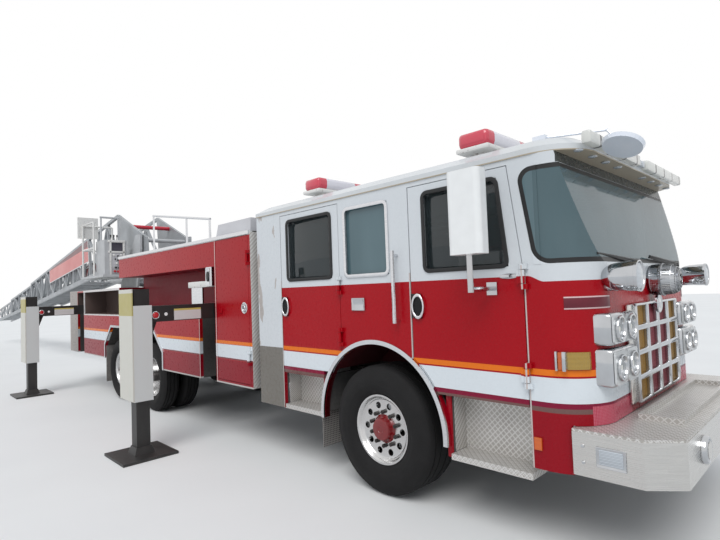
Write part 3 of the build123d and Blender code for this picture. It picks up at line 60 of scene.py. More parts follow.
class Reading:
    """A number in a finish. Python's own operators on it add Math nodes."""

    def __init__(self, finish, socket):
        self.finish = finish
        self.socket = socket

    def __add__(self, other):
        return self.finish.sum("ADD", self, other)

    def __radd__(self, other):
        return self.finish.sum("ADD", other, self)

    def __sub__(self, other):
        return self.finish.sum("SUBTRACT", self, other)

    def __rsub__(self, other):
        return self.finish.sum("SUBTRACT", other, self)

    def __mul__(self, other):
        return self.finish.sum("MULTIPLY", self, other)

    def __rmul__(self, other):
        return self.finish.sum("MULTIPLY", other, self)

    def __truediv__(self, other):
        return self.finish.sum("DIVIDE", self, other)

    def __gt__(self, other):
        return self.finish.sum("GREATER_THAN", self, other)

    def __lt__(self, other):
        return self.finish.sum("LESS_THAN", self, other)

    def __abs__(self):
        return self.finish.sum("ABSOLUTE", self)

    def at_least(self, other):
        return self.finish.sum("MAXIMUM", self, other)

    def at_most(self, other):
        return self.finish.sum("MINIMUM", self, other)

    def between(self, low, high):
        return (self > low) * (self < high)

    def length_with(self, other):
        return self.finish.sum("SQRT", self * self + other * other)

    def wave(self, pitch):
        """Goes from -1 to 1 and back once in each pitch."""
        return self.finish.sum("SINE", self * (2 * pi / pitch))


class Finish:
    """A surface finish in metres: station ahead of the front axle, left of the middle, height."""

    def __init__(self, name, roughness=0.4, metallic=0.0, coat=0.0, specular=None):
        self.material = bpy.data.materials.new(name)
        self.material.use_nodes = True
        self.tree = self.material.node_tree
        self.surface = next(n for n in self.tree.nodes if n.type == "BSDF_PRINCIPLED")
        self.surface.inputs["Roughness"].default_value = roughness
        self.surface.inputs["Metallic"].default_value = metallic
        self.surface.inputs["Coat Weight"].default_value = coat
        self.surface.inputs["Coat Roughness"].default_value = 0.08
        if specular is not None:
            self.surface.inputs["Specular IOR Level"].default_value = specular
        self.place = self.add("ShaderNodeTexCoord").outputs["Object"]
        parts = self.add("ShaderNodeSeparateXYZ", {}, {"Vector": self.place})
        self.station = Reading(self, parts.outputs[0]) - front_axle_x
        self.left = Reading(self, parts.outputs[1])
        self.out = abs(self.left)
        self.high = Reading(self, parts.outputs[2])

    def feed(self, socket, value):
        if isinstance(value, Reading):
            self.tree.links.new(value.socket, socket)
        elif isinstance(value, bpy.types.NodeSocket):
            self.tree.links.new(value, socket)
        elif isinstance(value, tuple) and socket.type == "RGBA":
            socket.default_value = (*value, 1.0)
        else:
            socket.default_value = value

    def add(self, kind, settings=None, inputs=None):
        node = self.tree.nodes.new(kind)
        for name, value in (settings or {}).items():
            setattr(node, name, value)
        for name, value in (inputs or {}).items():
            self.feed(node.inputs[name], value)
        return node

    def sum(self, operation, *values):
        node = self.add("ShaderNodeMath", {"operation": operation}, dict(enumerate(values)))
        return Reading(self, node.outputs[0])

    def noise(self, scale, detail=3.0, stretch=(1, 1, 1)):
        moved = self.add("ShaderNodeMapping", {}, {"Vector": self.place, "Scale": stretch})
        settings = {"Vector": moved.outputs[0], "Scale": scale, "Detail": detail}
        return Reading(self, self.add("ShaderNodeTexNoise", {}, settings).outputs["Fac"])

    def mix(self, factor, first, second):
        node = self.add("ShaderNodeMix", {"data_type": "RGBA"}, {0: factor, 6: first, 7: second})
        return node.outputs[2]

    def show(self, name, value):
        self.feed(self.surface.inputs[name], value)

    def emboss(self, height, depth, strength=1.0):
        settings = {"Height": height, "Distance": depth, "Strength": strength}
        self.feed(self.surface.inputs["Normal"], self.add("ShaderNodeBump", {}, settings).outputs[0])


def colour(red, green, blue):
    """A colour as a paint chart gives it, 0 to 255, for a socket."""
    return tuple((part / 255) ** 2.2 for part in (red, green, blue))


bpy.ops.object.select_all(action="DESELECT")
bpy.ops.mesh.primitive_plane_add(size=120, location=(2, 0, -0.001))
floor = bpy.context.object
floor.name = "studio_floor"
bpy.ops.object.transform_apply(location=True)
pale_floor = Finish("pale_floor", roughness=0.85)
floor_colour = pale_floor.mix(pale_floor.noise(0.6), colour(226, 226, 225), colour(236, 236, 234))
pale_floor.show("Base Color", floor_colour)
floor.data.materials.append(pale_floor.material)

# The light: an even overcast dome with one broad soft source over the yard, which draws the
# shadows under the truck and the highlights along its paint.
sky = bpy.data.worlds.new("overcast")
sky.use_nodes = True
bpy.context.scene.world = sky
sky_nodes = sky.node_tree.nodes
sky_links = sky.node_tree.links
dome = next(n for n in sky_nodes if n.type == "BACKGROUND")
dome.inputs["Color"].default_value = (0.86, 0.92, 1.0, 1.0)
dome.inputs["Strength"].default_value = 0.6
white_sky = sky_nodes.new("ShaderNodeBackground")
white_sky.inputs["Color"].default_value = (1.0, 1.0, 1.0, 1.0)
white_sky.inputs["Strength"].default_value = 1.0
light_path = sky_nodes.new("ShaderNodeLightPath")
sees_white = light_path.outputs["Is Camera Ray"]
for ray in ("Is Transmission Ray", "Is Glossy Ray"):
    either_ray = sky_nodes.new("ShaderNodeMath")
    either_ray.operation = "MAXIMUM"
    sky_links.new(sees_white, either_ray.inputs[0])
    sky_links.new(light_path.outputs[ray], either_ray.inputs[1])
    sees_white = either_ray.outputs[0]
sky_blend = sky_nodes.new("ShaderNodeMixShader")
for socket, source in enumerate((sees_white, dome.outputs[0], white_sky.outputs[0])):
    sky_links.new(source, sky_blend.inputs[socket])
sky_out = next(n for n in sky_nodes if n.type == "OUTPUT_WORLD")
sky_links.new(sky_blend.outputs[0], sky_out.inputs["Surface"])
sun_data = bpy.data.lights.new("yard_light", "SUN")
sun_data.angle = radians(40)
sun_data.energy = 1.7
yard_light = bpy.data.objects.new("yard_light", sun_data)
bpy.context.scene.collection.objects.link(yard_light)
yard_light.rotation_euler = Vector((-0.35, 0.62, -0.9)).to_track_quat("-Z", "Y").to_euler()

# The cab: pressed steel panels welded over a tubular frame and sprayed. It is white from the
# window line up and signal red below, with a reflective stripe pair round it at bumper height.
signal_red = colour(168, 14, 28)
deep_red = colour(120, 10, 26)
cab_white = colour(210, 214, 217)
corner_station, corner_left, corner_radius = 1.51, 0.89, 0.33
arch_centre_high, arch_radius = 0.6, 0.702


def striped(finish, base, orange, white_top, white_low, line):
    """Adds the orange and white stripes and the maroon and brown lines under them to a paint."""
    high = finish.high
    paint = finish.mix(high.between(orange - 0.04, orange), base, colour(226, 116, 34))
    paint = finish.mix(high.between(white_low, white_top), paint, colour(214, 220, 224))
    paint = finish.mix(high.between(white_low - line, white_low), paint, colour(126, 26, 54))
    return finish.mix(high.between(white_low - line * 1.9, white_low - line), paint, colour(112, 84, 80))


cab_paint = Finish("cab_paint", roughness=0.28, coat=0.05, specular=0.18)
station, out, high = cab_paint.station, cab_paint.out, cab_paint.high
dirt = cab_paint.noise(1.4, 6.0)
fine_dirt = cab_paint.noise(26.0, 4.0)
red_panel = cab_paint.mix(dirt * 0.35, signal_red, deep_red)
red_panel = cab_paint.mix((high < 0.98) * 0.6, red_panel, colour(128, 12, 32))
striped_red = striped(cab_paint, red_panel, 1.214, 1.162, 1.002, 0.034)
dip = ((station - 1.43) / 0.12).at_least(0.0).at_most(1.0)
white_line = 1.828 - dip * dip * (3.0 - dip * 2.0) * 0.042
white_panel = cab_paint.mix(fine_dirt * 0.22, cab_white, colour(186, 188, 188))
cab_colour = cab_paint.mix(high > white_line, striped_red, white_panel)
scuffs = cab_paint.noise(5.0, 8.0, (1, 1, 0.35)) > 0.62
rear_white = cab_paint.mix(scuffs * 0.6, white_panel, colour(150, 132, 118))
rear_colour = cab_paint.mix(high > 1.19, colour(120, 116, 110), rear_white)
cab_colour = cab_paint.mix(station < -1.365, cab_colour, rear_colour)
seam_light = (abs(station - 1.413) < 0.005) + (abs(station - 0.416) < 0.006)
seam_light = (seam_light + (abs(station + 1.364) < 0.005)).at_most(1.0) * (high < 1.9)
cab_colour = cab_paint.mix(seam_light * (out > 1.21), cab_colour, colour(190, 180, 176))
past_corner = (station - corner_station).at_least(0.0)
beside_corner = (out - corner_left).at_least(0.0)
depth = corner_radius - past_corner.length_with(beside_corner)
sloping = (station > 1.5) * (high > 1.86)
inside = (depth > 0.042) * (station > -1.79) * (1 - sloping)
inner_grey = cab_paint.mix(fine_dirt, colour(96, 94, 92), colour(70, 69, 68))
cab_colour = cab_paint.mix(inside, cab_colour, inner_grey)
# Painted shade: the inside of the wheel arch is painted a very dark red.
arch_shade = (station.length_with(high - arch_centre_high) < arch_radius) * (out < 1.216)
cab_colour = cab_paint.mix(arch_shade, cab_colour, colour(58, 8, 16))
latch_plate = (abs(station - 0.496) < 0.039) + (abs(station + 1.284) < 0.039)
latch_plate = latch_plate * (out > 1.2215) * high.between(1.525, 1.725)
cab_colour = cab_paint.mix(latch_plate, cab_colour, colour(30, 30, 32))
apron_patch = (station > 1.765) * high.between(0.865, 0.985) * (out > 0.60)
patch_dots = high.wave(0.018) * cab_paint.left.wave(0.018)
patch_colour = cab_paint.mix(abs(patch_dots) > 0.45, colour(176, 60, 78), colour(196, 110, 124))
cab_colour = cab_paint.mix(apron_patch, cab_colour, patch_colour)
# Painted shade: the white strip above the windshield, under the visor, is painted dark grey.
header_shade = (station > 1.53) * (high > 2.50) * (out < 1.19)
cab_colour = cab_paint.mix(header_shade, cab_colour, colour(64, 68, 67))
cab_paint.show("Base Color", cab_colour)
cab_paint.show("Roughness", 0.2 + fine_dirt * 0.16 + inside * 0.4)
cab_paint.emboss(cab_paint.noise(0.9, 2.0), 0.004, 0.4)


def dress(names, finish):
    """Gives CAD nodes their finish."""
    for name in names:
        nodes[name].data.materials.clear()
        nodes[name].data.materials.append(finish.material)


dress(("cab_shell", "door_front_right", "door_front_left", "door_crew_right", "door_crew_left"), cab_paint)

# The crew doors' hems: folded steel strips along the doors' lower edges, over the step wells.
# They are spot-welded to the door skins and sprayed with them.
sides = (("right", -1), ("left", 1))


def spot(station, left, high):
    """A place given by its station, its distance to the left and its height."""
    return Vector((front_axle_x + station, left, high))


def begin(name, add_primitive, **settings):
    """Adds a primitive with its place and size in its mesh."""
    bpy.ops.object.select_all(action="DESELECT")
    add_primitive(**settings)
    piece = bpy.context.object
    piece.name = name
    piece.data.name = name
    bpy.ops.object.transform_apply(location=True, rotation=True, scale=True)
    return piece


def take(piece):
    """Selects one piece alone."""
    bpy.ops.object.select_all(action="DESELECT")
    piece.select_set(True)
    bpy.context.view_layer.objects.active = piece


def soften(piece, width):
    """Rounds a piece's sharp edges."""
    take(piece)
    rounding = piece.modifiers.new("rounding", "BEVEL")
    rounding.width = width
    rounding.segments = 2
    rounding.limit_method = "ANGLE"
    rounding.angle_limit = radians(40)
    bpy.ops.object.modifier_apply(modifier="rounding")


def block(name, stations, lefts, heights, rounding=0.004):
    """A block between two stations, two distances to the left and two heights, edges rounded."""
    size = [abs(b - a) for a, b in (stations, lefts, heights)]
    middle = spot(*[(a + b) / 2 for a, b in (stations, lefts, heights)])
    piece = begin(name, bpy.ops.mesh.primitive_cube_add, size=1, location=middle, scale=size)
    if rounding:
        soften(piece, min(rounding, min(size) * 0.45))
    return piece


def complete(piece, finish, body, angle=35, replaced=None):
    """Smooths a finished piece up to an angle and gives it its finish, body and slot."""
    take(piece)
    bpy.ops.object.shade_smooth_by_angle(angle=radians(angle))
    piece.data.materials.clear()
    piece.data.materials.append(finish.material)
    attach(piece, body)
    if replaced:
        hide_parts(replaced)


for side, facing in sides:
    lefts = (facing * 1.166, facing * 1.2185)
    hem = block(f"crew_door_hem_{side}", (-1.349, -0.705), lefts, (0.934, 1.0045))
    complete(hem, cab_paint, f"crew_door_{side}")

# The roof: one welded aluminium pressing with a turned-down edge, sprayed white. It is dusty on
# top, and its underside, where it runs out as the visor, is painted a darker cream as painted shade.
roof_paint = Finish("roof_white", roughness=0.34, coat=0.4)
dust = roof_paint.noise(2.2, 7.0)
roof_colour = roof_paint.mix(dust * 0.5, cab_white, colour(176, 174, 168))
# Painted shade: below the visor's edge height the white is painted a darker cream.
roof_paint.show("Base Color", roof_paint.mix(roof_paint.high < 2.645, roof_colour, colour(170, 158, 138)))
roof_paint.show("Roughness", 0.3 + dust * 0.3)
roof_paint.emboss(dust, 0.003, 0.3)
dress(("cab_roof",), roof_paint)

# The windshield: one bent sheet of laminated safety glass, bonded in rubber, with a black border
# printed round it. It runs round both front corners of the cab on to the pillars.
glass_low, glass_high = 1.902, 2.558
pillar_foot, pillar_lean = 1.486, 0.158
glass_corner, border_inset = 0.11, 0.032
wrap_out = 1.2198
windshield = Finish("windshield_glass", roughness=0.03, specular=0.5)
haze = windshield.noise(2.0, 5.0, (1, 1, 0.3))
in_screen = windshield.station > 1.30
from_edge = (windshield.high - glass_low).at_most(glass_high - windshield.high)
from_pillar = windshield.station - (pillar_foot - (windshield.high - glass_low) * pillar_lean)
into_corner = (glass_corner - from_edge).at_least(0.0)
into_corner = into_corner.length_with((glass_corner - from_pillar).at_least(0.0))
border = (into_corner > glass_corner - border_inset) * in_screen
glass_colour = windshield.mix(haze, colour(66, 88, 94), colour(100, 122, 128))
glass_colour = windshield.mix(border, glass_colour, colour(20, 20, 22))
glass_colour = windshield.mix((into_corner > glass_corner) * in_screen, glass_colour, cab_white)
windshield.show("Base Color", glass_colour)
windshield.show("Alpha", (0.72 + haze * 0.1 + border + (windshield.station < 1.503)).at_most(1.0))
windshield.show("Roughness", 0.02 + haze * 0.04 + border * 0.4)
dress(("cab_glass",), windshield)


@contextmanager
def shaping(select="SELECT"):
    """Edit mode on the piece that was added or taken last."""
    bpy.ops.object.mode_set(mode="EDIT")
    bpy.ops.mesh.select_all(action=select)
    yield
    bpy.ops.object.mode_set(mode="OBJECT")


def thicken(push):
    """Gives a flat sheet its thickness, and turns its faces outwards."""
    bpy.ops.mesh.select_all(action="SELECT")
    bpy.ops.mesh.extrude_region_move(TRANSFORM_OT_translate={"value": push})
    bpy.ops.mesh.select_all(action="SELECT")
    bpy.ops.mesh.normals_make_consistent(inside=False)


for side, facing in sides:
    wrap = begin(
        f"windshield_wrap_{side}", bpy.ops.mesh.primitive_plane_add, size=1,
        location=spot(0, facing * wrap_out, 0), rotation=(facing * -pi / 2, 0, 0),
    )
    with shaping("DESELECT"):
        bpy.ops.mesh.select_mode(type="VERT")
    top_rear = 1.384
    corners = ((pillar_foot, glass_low), (1.532, glass_low), (top_rear, glass_high), (1.532, glass_high))
    in_order = sorted(wrap.data.vertices, key=lambda v: (round(v.co.z, 3), round(v.co.x, 3)))
    for vertex, (corner_at, corner_high) in zip(in_order, corners):
        vertex.co = spot(corner_at, facing * wrap_out, corner_high)
        vertex.select = corner_at == top_rear
    bpy.ops.object.mode_set(mode="EDIT")
    bpy.ops.mesh.bevel(offset=0.10, segments=6, affect="VERTICES")
    thicken((0, facing * 0.003, 0))
    bpy.ops.object.mode_set(mode="OBJECT")
    complete(wrap, windshield, "truck")

# The wipers: two black pressed arms, each on its own spindle at the scuttle, with a rubber blade
# lying low across its half of the windshield.


def weathered(name, fresh, worn, grain, rough, share=1.0, bump=None, bump_grain=None, metallic=0.0, coat=0.0):
    """A finish that a noise takes from fresh to worn, and from smooth to rough where rough is a pair."""
    varied = isinstance(rough, tuple)
    finish = Finish(name, rough[0] if varied else rough, metallic, coat)
    cloud = finish.noise(*grain)
    finish.show("Base Color", finish.mix(cloud * share, colour(*fresh), colour(*worn)))
    if varied:
        finish.show("Roughness", rough[0] + cloud * rough[1])
    if bump:
        finish.emboss(finish.noise(*bump_grain) if bump_grain else cloud, *bump)
    return finish


def rod(name, start, end, radius, faces, rounding):
    """A round bar between two places, each a station, a distance to the left and a height."""
    foot = spot(*start)
    head = spot(*end)
    piece = begin(
        name, bpy.ops.mesh.primitive_cylinder_add, vertices=faces, radius=radius,
        depth=(head - foot).length, location=(foot + head) / 2,
        rotation=(head - foot).to_track_quat("Z", "Y").to_euler(),
    )
    soften(piece, rounding)
    return piece


def join(pieces, name):
    """One object of several."""
    take(pieces[0])
    for piece in pieces:
        piece.select_set(True)
    bpy.ops.object.join()
    pieces[0].name = name
    pieces[0].data.name = name
    return pieces[0]


wiper_black = weathered("wiper_black", (18, 18, 19), (44, 44, 44), (70.0, 4.0), (0.35, 0.3))
for side, spindle, tip, arm_end, blade_end in (
    ("right", -0.33, -1.02, 1.822, 1.812), ("left", 0.76, -0.02, 1.846, 1.852),
):
    wiper = join([
        rod("wiper_arm", (1.862, spindle, 1.893), (arm_end, tip * 0.85, 1.946), 0.007, 10, 0.002),
        rod("wiper_spindle", (1.836, spindle, 1.888), (1.872, spindle, 1.896), 0.016, 20, 0.003),
        rod("wiper_blade", (1.856, spindle * 0.9, 1.914), (blade_end, tip, 1.956), 0.009, 10, 0.003),
    ], f"wiper_{side}")
    complete(wiper, wiper_black, "truck")

# Door windows: lightly tinted drop glasses in the four doors, each in a black moulded rubber
# channel with rounded corners, which is pressed over the edge of the opening.
window_low, window_high = 1.902, 2.528
channel_width, channel_out = 0.032, 1.2203
door_windows = {"front": (0.575, 1.300, 1.235), "crew": (-1.240, -0.535, -0.535)}
cab_tint = Finish("tinted_glass", roughness=0.03, specular=0.8)
streaks = cab_tint.noise(3.0, 5.0, (1, 1, 0.3))
cab_tint.show("Base Color", cab_tint.mix(streaks, colour(36, 44, 46), colour(52, 60, 62)))
cab_tint.show("Alpha", 0.62 + streaks * 0.1)
cab_tint.show("Roughness", 0.02 + streaks * 0.05)
rubber = weathered(
    "moulded_rubber", (22, 22, 23), (40, 40, 41), (60.0, 5.0), (0.5, 0.25), bump=(0.0006, 0.6)
)


def window_channel(name, rear, front, front_high, proud):
    """A flat ring round a window: rounded corners, a rounded section, standing off the door."""
    low, high = window_low - 0.014, window_high + 0.014
    piece = begin(
        name, bpy.ops.mesh.primitive_plane_add, size=1,
        location=spot(0, -channel_out, 0), rotation=(pi / 2, 0, 0),
    )
    corners = ((rear, low), (front, low), (front_high, high), (rear, high))
    in_order = sorted(
        piece.data.vertices, key=lambda v: (v.co.z > 0, (v.co.x > front_axle_x) == (v.co.z > 0))
    )
    for (corner_at, corner_high), vertex in zip(corners, in_order):
        vertex.co = spot(corner_at, -channel_out, corner_high)
    with shaping():
        bpy.ops.mesh.bevel(offset=0.06, segments=5, affect="VERTICES")
        bpy.ops.mesh.select_all(action="SELECT")
        bpy.ops.mesh.inset(thickness=channel_width)
        bpy.ops.mesh.delete(type="FACE")
        thicken((0, -proud, 0))
    soften(piece, proud * 0.35)
    return piece


def window_pane(name, rear, front, front_high):
    """A door's glass, let into its channel all round."""
    pane = block(name, (rear, front), (-1.196, -1.190), (window_low, window_high), 0)
    for vertex in pane.data.vertices:
        if vertex.co.z > (window_low + window_high) / 2 and vertex.co.x > front_axle_x + (rear + front) / 2:
            vertex.co.x = front_axle_x + front_high
    soften(pane, 0.0015)
    return pane


def copy_to(piece, name, move=(0, 0, 0), mirror=False):
    """A copy with a mesh of its own, moved, or mirrored to the other side of the truck."""
    twin = piece.copy()
    twin.data = piece.data.copy()
    twin.name = name
    twin.data.name = name
    bpy.context.scene.collection.objects.link(twin)
    twin.location = move
    if mirror:
        twin.scale = (1, -1, 1)
    take(twin)
    bpy.ops.object.transform_apply(location=True, rotation=True, scale=True)
    if mirror:
        with shaping():
            bpy.ops.mesh.normals_make_consistent(inside=False)
    return twin


def complete_pair(piece, stem, finish, body, angle=35):
    """Completes a piece made for the right side and its mirrored copy for the left side."""
    complete(piece, finish, body.format("right"), angle)
    complete(copy_to(piece, f"{stem}_left", mirror=True), finish, body.format("left"), angle)


for door, (rear, front, front_high) in door_windows.items():
    pane = window_pane(f"glass_{door}_right", rear + 0.002, front - 0.002, front_high - 0.002)
    complete_pair(pane, f"glass_{door}", cab_tint, door + "_door_{}")
    ring = window_channel(f"channel_{door}_right", rear - 0.012, front + 0.012, front_high + 0.012, 0.010)
    complete_pair(ring, f"channel_{door}", rubber, door + "_door_{}")

# The fixed window between the doors: the same channel in bright anodised aluminium, screwed on.
# Its glass is one with the cab's.
bright = weathered(
    "polished_trim", (198, 200, 204), (228, 228, 230), (18.0, 4.0, (1, 1, 6)), (0.1, 0.16), metallic=1.0
)
ring = window_channel("channel_fixed_right", -0.357, 0.207, 0.207, 0.012)
complete_pair(ring, "channel_fixed", bright, "truck")

# Door handles: a chromed D-shaped pull on a black recessed pan, one at the rear of each door.
# The pan is moulded, and two screws from inside hold the pull through it.
pan_black = weathered("handle_pan_black", (18, 18, 19), (34, 34, 35), (140.0, 3.0), 0.35, bump=(0.0004, 0.5))


def press_in(piece, axis, facing, least_area, margin, depth):
    """Insets a block's large face on one side and presses it in."""
    with shaping("DESELECT"):
        bpy.ops.mesh.select_mode(type="FACE")
        bpy.ops.mesh.select_all(action="DESELECT")
    for face in piece.data.polygons:
        face.select = face.normal[axis] * facing > 0.9 and face.area > least_area
    inward = Vector((0, 0, 0))
    inward[axis] = -facing * depth
    bpy.ops.object.mode_set(mode="EDIT")
    bpy.ops.mesh.inset(thickness=margin)
    bpy.ops.transform.translate(value=inward)
    bpy.ops.object.mode_set(mode="OBJECT")


for door, seam in (("front", 0.421), ("crew", -1.359)):
    pan = block(
        f"handle_pan_{door}_right", (seam + 0.006, seam + 0.104), (-1.2285, -1.2195), (1.535, 1.728), 0.003
    )
    press_in(pan, 1, -1, 0.004, 0.010, 0.003)
    complete_pair(pan, f"handle_pan_{door}", pan_black, door + "_door_{}")
    pull_middle = spot(seam + 0.084, -1.2415, 1.628)
    pull = begin(
        f"handle_pull_{door}_right", bpy.ops.mesh.primitive_torus_add, major_segments=36, minor_segments=10,
        major_radius=0.055, minor_radius=0.0085, location=pull_middle, rotation=(pi / 2, 0, 0),
    )
    with shaping():
        bpy.ops.transform.resize(value=(1, 1, 1.62), center_override=pull_middle)
    complete_pair(pull, f"handle_pull_{door}", bright, door + "_door_{}", 60)

# The body: folded steel compartments with flush panels, in the same red, with the stripes run
# on along them. The recess is painted a dull darker red, grey-brown at the rear, as painted shade,
# and the tall compartment is bare grey inside.
body_paint = Finish("body_paint", roughness=0.3, coat=0.05, specular=0.2)
station, out, high = body_paint.station, body_paint.out, body_paint.high
grime = body_paint.noise(1.8, 7.0)
road_film = body_paint.noise(22.0, 4.0)
body_red = body_paint.mix(grime * 0.4, signal_red, deep_red)
body_red = body_paint.mix((high < 0.99) * 0.8, body_red, colour(132, 16, 36))
body_colour = striped(body_paint, body_red, 1.220, 1.176, 1.015, 0.008)
body_colour = body_paint.mix(high > 2.46, body_colour, colour(210, 212, 212))
body_colour = body_paint.mix(high < 0.715, body_colour, colour(186, 182, 178))
recessed = (out < 1.262) * high.between(1.499, 2.142) * (station < -2.72)
rear_part = station < -6.12
# Painted shade: the recess is painted a darker red, and grey-brown behind the rear compartment, varied by the
# grime noise.
maroon = body_paint.mix(grime, colour(138, 14, 34), colour(90, 12, 26))
recess_shade_grey = body_paint.mix(grime, colour(112, 96, 90), colour(78, 66, 64))
body_colour = body_paint.mix(recessed, body_colour, body_paint.mix(rear_part, maroon, recess_shade_grey))
bare = (out < 1.228) * (high < 1.49)
bare = (bare + (out < 1.228) * (station > -2.722)).at_most(1.0)
bare_steel = body_paint.mix(road_film, colour(92, 90, 88), colour(64, 62, 60))
body_colour = body_paint.mix(bare, body_colour, bare_steel)
body_colour = body_paint.mix((high > 1.965) * rear_part, body_colour, colour(206, 206, 202))
tail_sheet = body_paint.mix(road_film, colour(168, 160, 154), colour(128, 118, 112))
body_colour = body_paint.mix((station < -8.612) * (out > 1.2), body_colour, tail_sheet)
edge_strip = abs(station + 2.704) < 0.006
edge_strip = edge_strip + (abs(station + 3.160) < 0.006) * (high < 1.499)
edge_strip = edge_strip + (abs(high - 1.493) < 0.006) * (station < -3.15)
edge_strip = (edge_strip * (out > 1.262)).at_most(1.0)
body_colour = body_paint.mix(edge_strip, body_colour, colour(214, 196, 190))
rear_frame = high.between(1.474, 1.500) + (high > 1.930)
rear_frame = rear_frame + (station < -8.05) * (high > 1.499)
rear_frame = rear_frame.at_most(1.0) * rear_part * (station > -8.215) * (out > 1.255)
body_colour = body_paint.mix(rear_frame, body_colour, colour(208, 204, 202))
body_paint.show("Base Color", body_colour)
body_paint.show("Roughness", 0.2 + road_film * 0.18 + recessed * 0.25)
body_paint.emboss(body_paint.noise(0.8, 2.0), 0.004, 0.12)
dress(("body_right", "body_left", "compartment_door_right", "compartment_door_left"), body_paint)

# Body fittings: a white bar across the notch over the jack, a chromed surround with its dark
# oval on the lamp box, and a D-ring pull in its chromed dish on the tall compartment's door.
ring_pull_at = -2.032
core = 0.0005
white_enamel = Finish("white_enamel", roughness=0.3, coat=0.2)
chips = white_enamel.noise(30.0, 6.0)
chipped = white_enamel.mix((chips > 0.64) * 0.5, colour(222, 220, 216), colour(150, 140, 134))
white_enamel.show("Base Color", chipped)
white_enamel.show("Roughness", 0.22 + chips * 0.24)


def oval_plate(name, middle, size, vertices, rounding):
    """An oval plate lying against the truck's side."""
    plate = begin(
        name, bpy.ops.mesh.primitive_cylinder_add, vertices=vertices, radius=0.5, depth=1,
        location=middle, rotation=(pi / 2, 0, 0), scale=size,
    )
    soften(plate, rounding)
    return plate


def turned(name, profile, centre, steps, axis=(0, -1, 0)):
    """A piece turned about an axis through a centre, from rows of distance out and radius.

    The rows run round its outline. A row with the radius core lies on the axis.
    """
    along = Vector(axis)
    away = Vector((1, 0, 0)) if axis[2] else Vector((0, 0, 1))
    piece = begin(name, bpy.ops.mesh.primitive_plane_add, size=0.001, location=centre)
    with shaping():
        bpy.ops.mesh.select_mode(type="VERT")
        bpy.ops.mesh.select_all(action="SELECT")
        bpy.ops.mesh.merge(type="CENTER")
        bpy.ops.mesh.select_all(action="SELECT")
        out, radius = profile[0]
        bpy.ops.transform.translate(value=along * out + away * radius)
        for next_out, next_radius in profile[1:] + profile[:1]:
            step = along * (next_out - out) + away * (next_radius - radius)
            bpy.ops.mesh.extrude_region_move(TRANSFORM_OT_translate={"value": step})
            out, radius = next_out, next_radius
        bpy.ops.mesh.select_all(action="SELECT")
        bpy.ops.mesh.spin(steps=steps, angle=2 * pi, center=centre, axis=axis)
        bpy.ops.mesh.select_all(action="SELECT")
        bpy.ops.mesh.remove_doubles(threshold=0.00005)
        bpy.ops.mesh.normals_make_consistent(inside=False)
    return piece


for side, facing in sides:
    lefts = (facing * 1.200, facing * 1.262)
    jack_bar = block(f"jack_bar_{side}", (-3.476, -2.835), lefts, (1.888, 1.966), 0.006)
    complete(jack_bar, white_enamel, "truck")
    lefts = (facing * 1.2795, facing * 1.288)
    surround = block(f"box_lamp_surround_{side}", (-2.926, -2.818), lefts, (1.912, 2.132), 0.003)
    press_in(surround, 1, facing, 0.010, 0.010, 0.004)
    complete(surround, bright, "truck")
    box_oval = oval_plate(
        f"box_lamp_oval_{side}", spot(-2.872, facing * 1.2875, 2.020), (0.066, 0.128, 0.010), 32, 0.003
    )
    complete(box_oval, pan_black, "truck")
    dish = turned(
        f"ring_pull_dish_{side}",
        ((-0.001, core), (-0.001, 0.066), (0.004, 0.066), (0.008, 0.058), (0.004, 0.050), (0.002, core)),
        spot(ring_pull_at, facing * 1.2705, 1.617), 36, (0, facing, 0),
    )
    complete(dish, bright, f"compartment_door_{side}", 50)
    d_ring = begin(
        "d_ring", bpy.ops.mesh.primitive_torus_add, major_segments=30, minor_segments=8, major_radius=0.034,
        minor_radius=0.0065, location=spot(ring_pull_at, facing * 1.2815, 1.610), rotation=(pi / 2, 0, 0),
    )
    pin_ends = [(ring_pull_at + end, facing * 1.2800, 1.646) for end in (-0.028, 0.028)]
    ring_pull = join([d_ring, rod("ring_pin", *pin_ends, 0.0075, 12, 0.002)], f"ring_pull_{side}")
    complete(ring_pull, bright, f"compartment_door_{side}", 60)

# The tyres: ribbed truck tyres, a wide single on each front wheel and narrow twins behind. Five
# ribs run round the tread, with cross cuts at the shoulders and a moulded ring on each wall.
tread_steps = 120
front_wheel_high, rear_wheel_high = 0.556, 0.530
rear_axle_x, tandem_spacing = front_axle_x - 4.926, 1.374
tyre_rubber = Finish("tyre_rubber", roughness=0.8, specular=0.35)
chalk = tyre_rubber.noise(9.0, 6.0)
pores = tyre_rubber.noise(220.0, 3.0)
tyre_rubber.show("Base Color", tyre_rubber.mix(chalk, colour(15, 15, 16), colour(31, 30, 31)))
tyre_rubber.show("Roughness", 0.68 + pores * 0.25)
tyre_rubber.emboss(pores, 0.0008, 0.5)


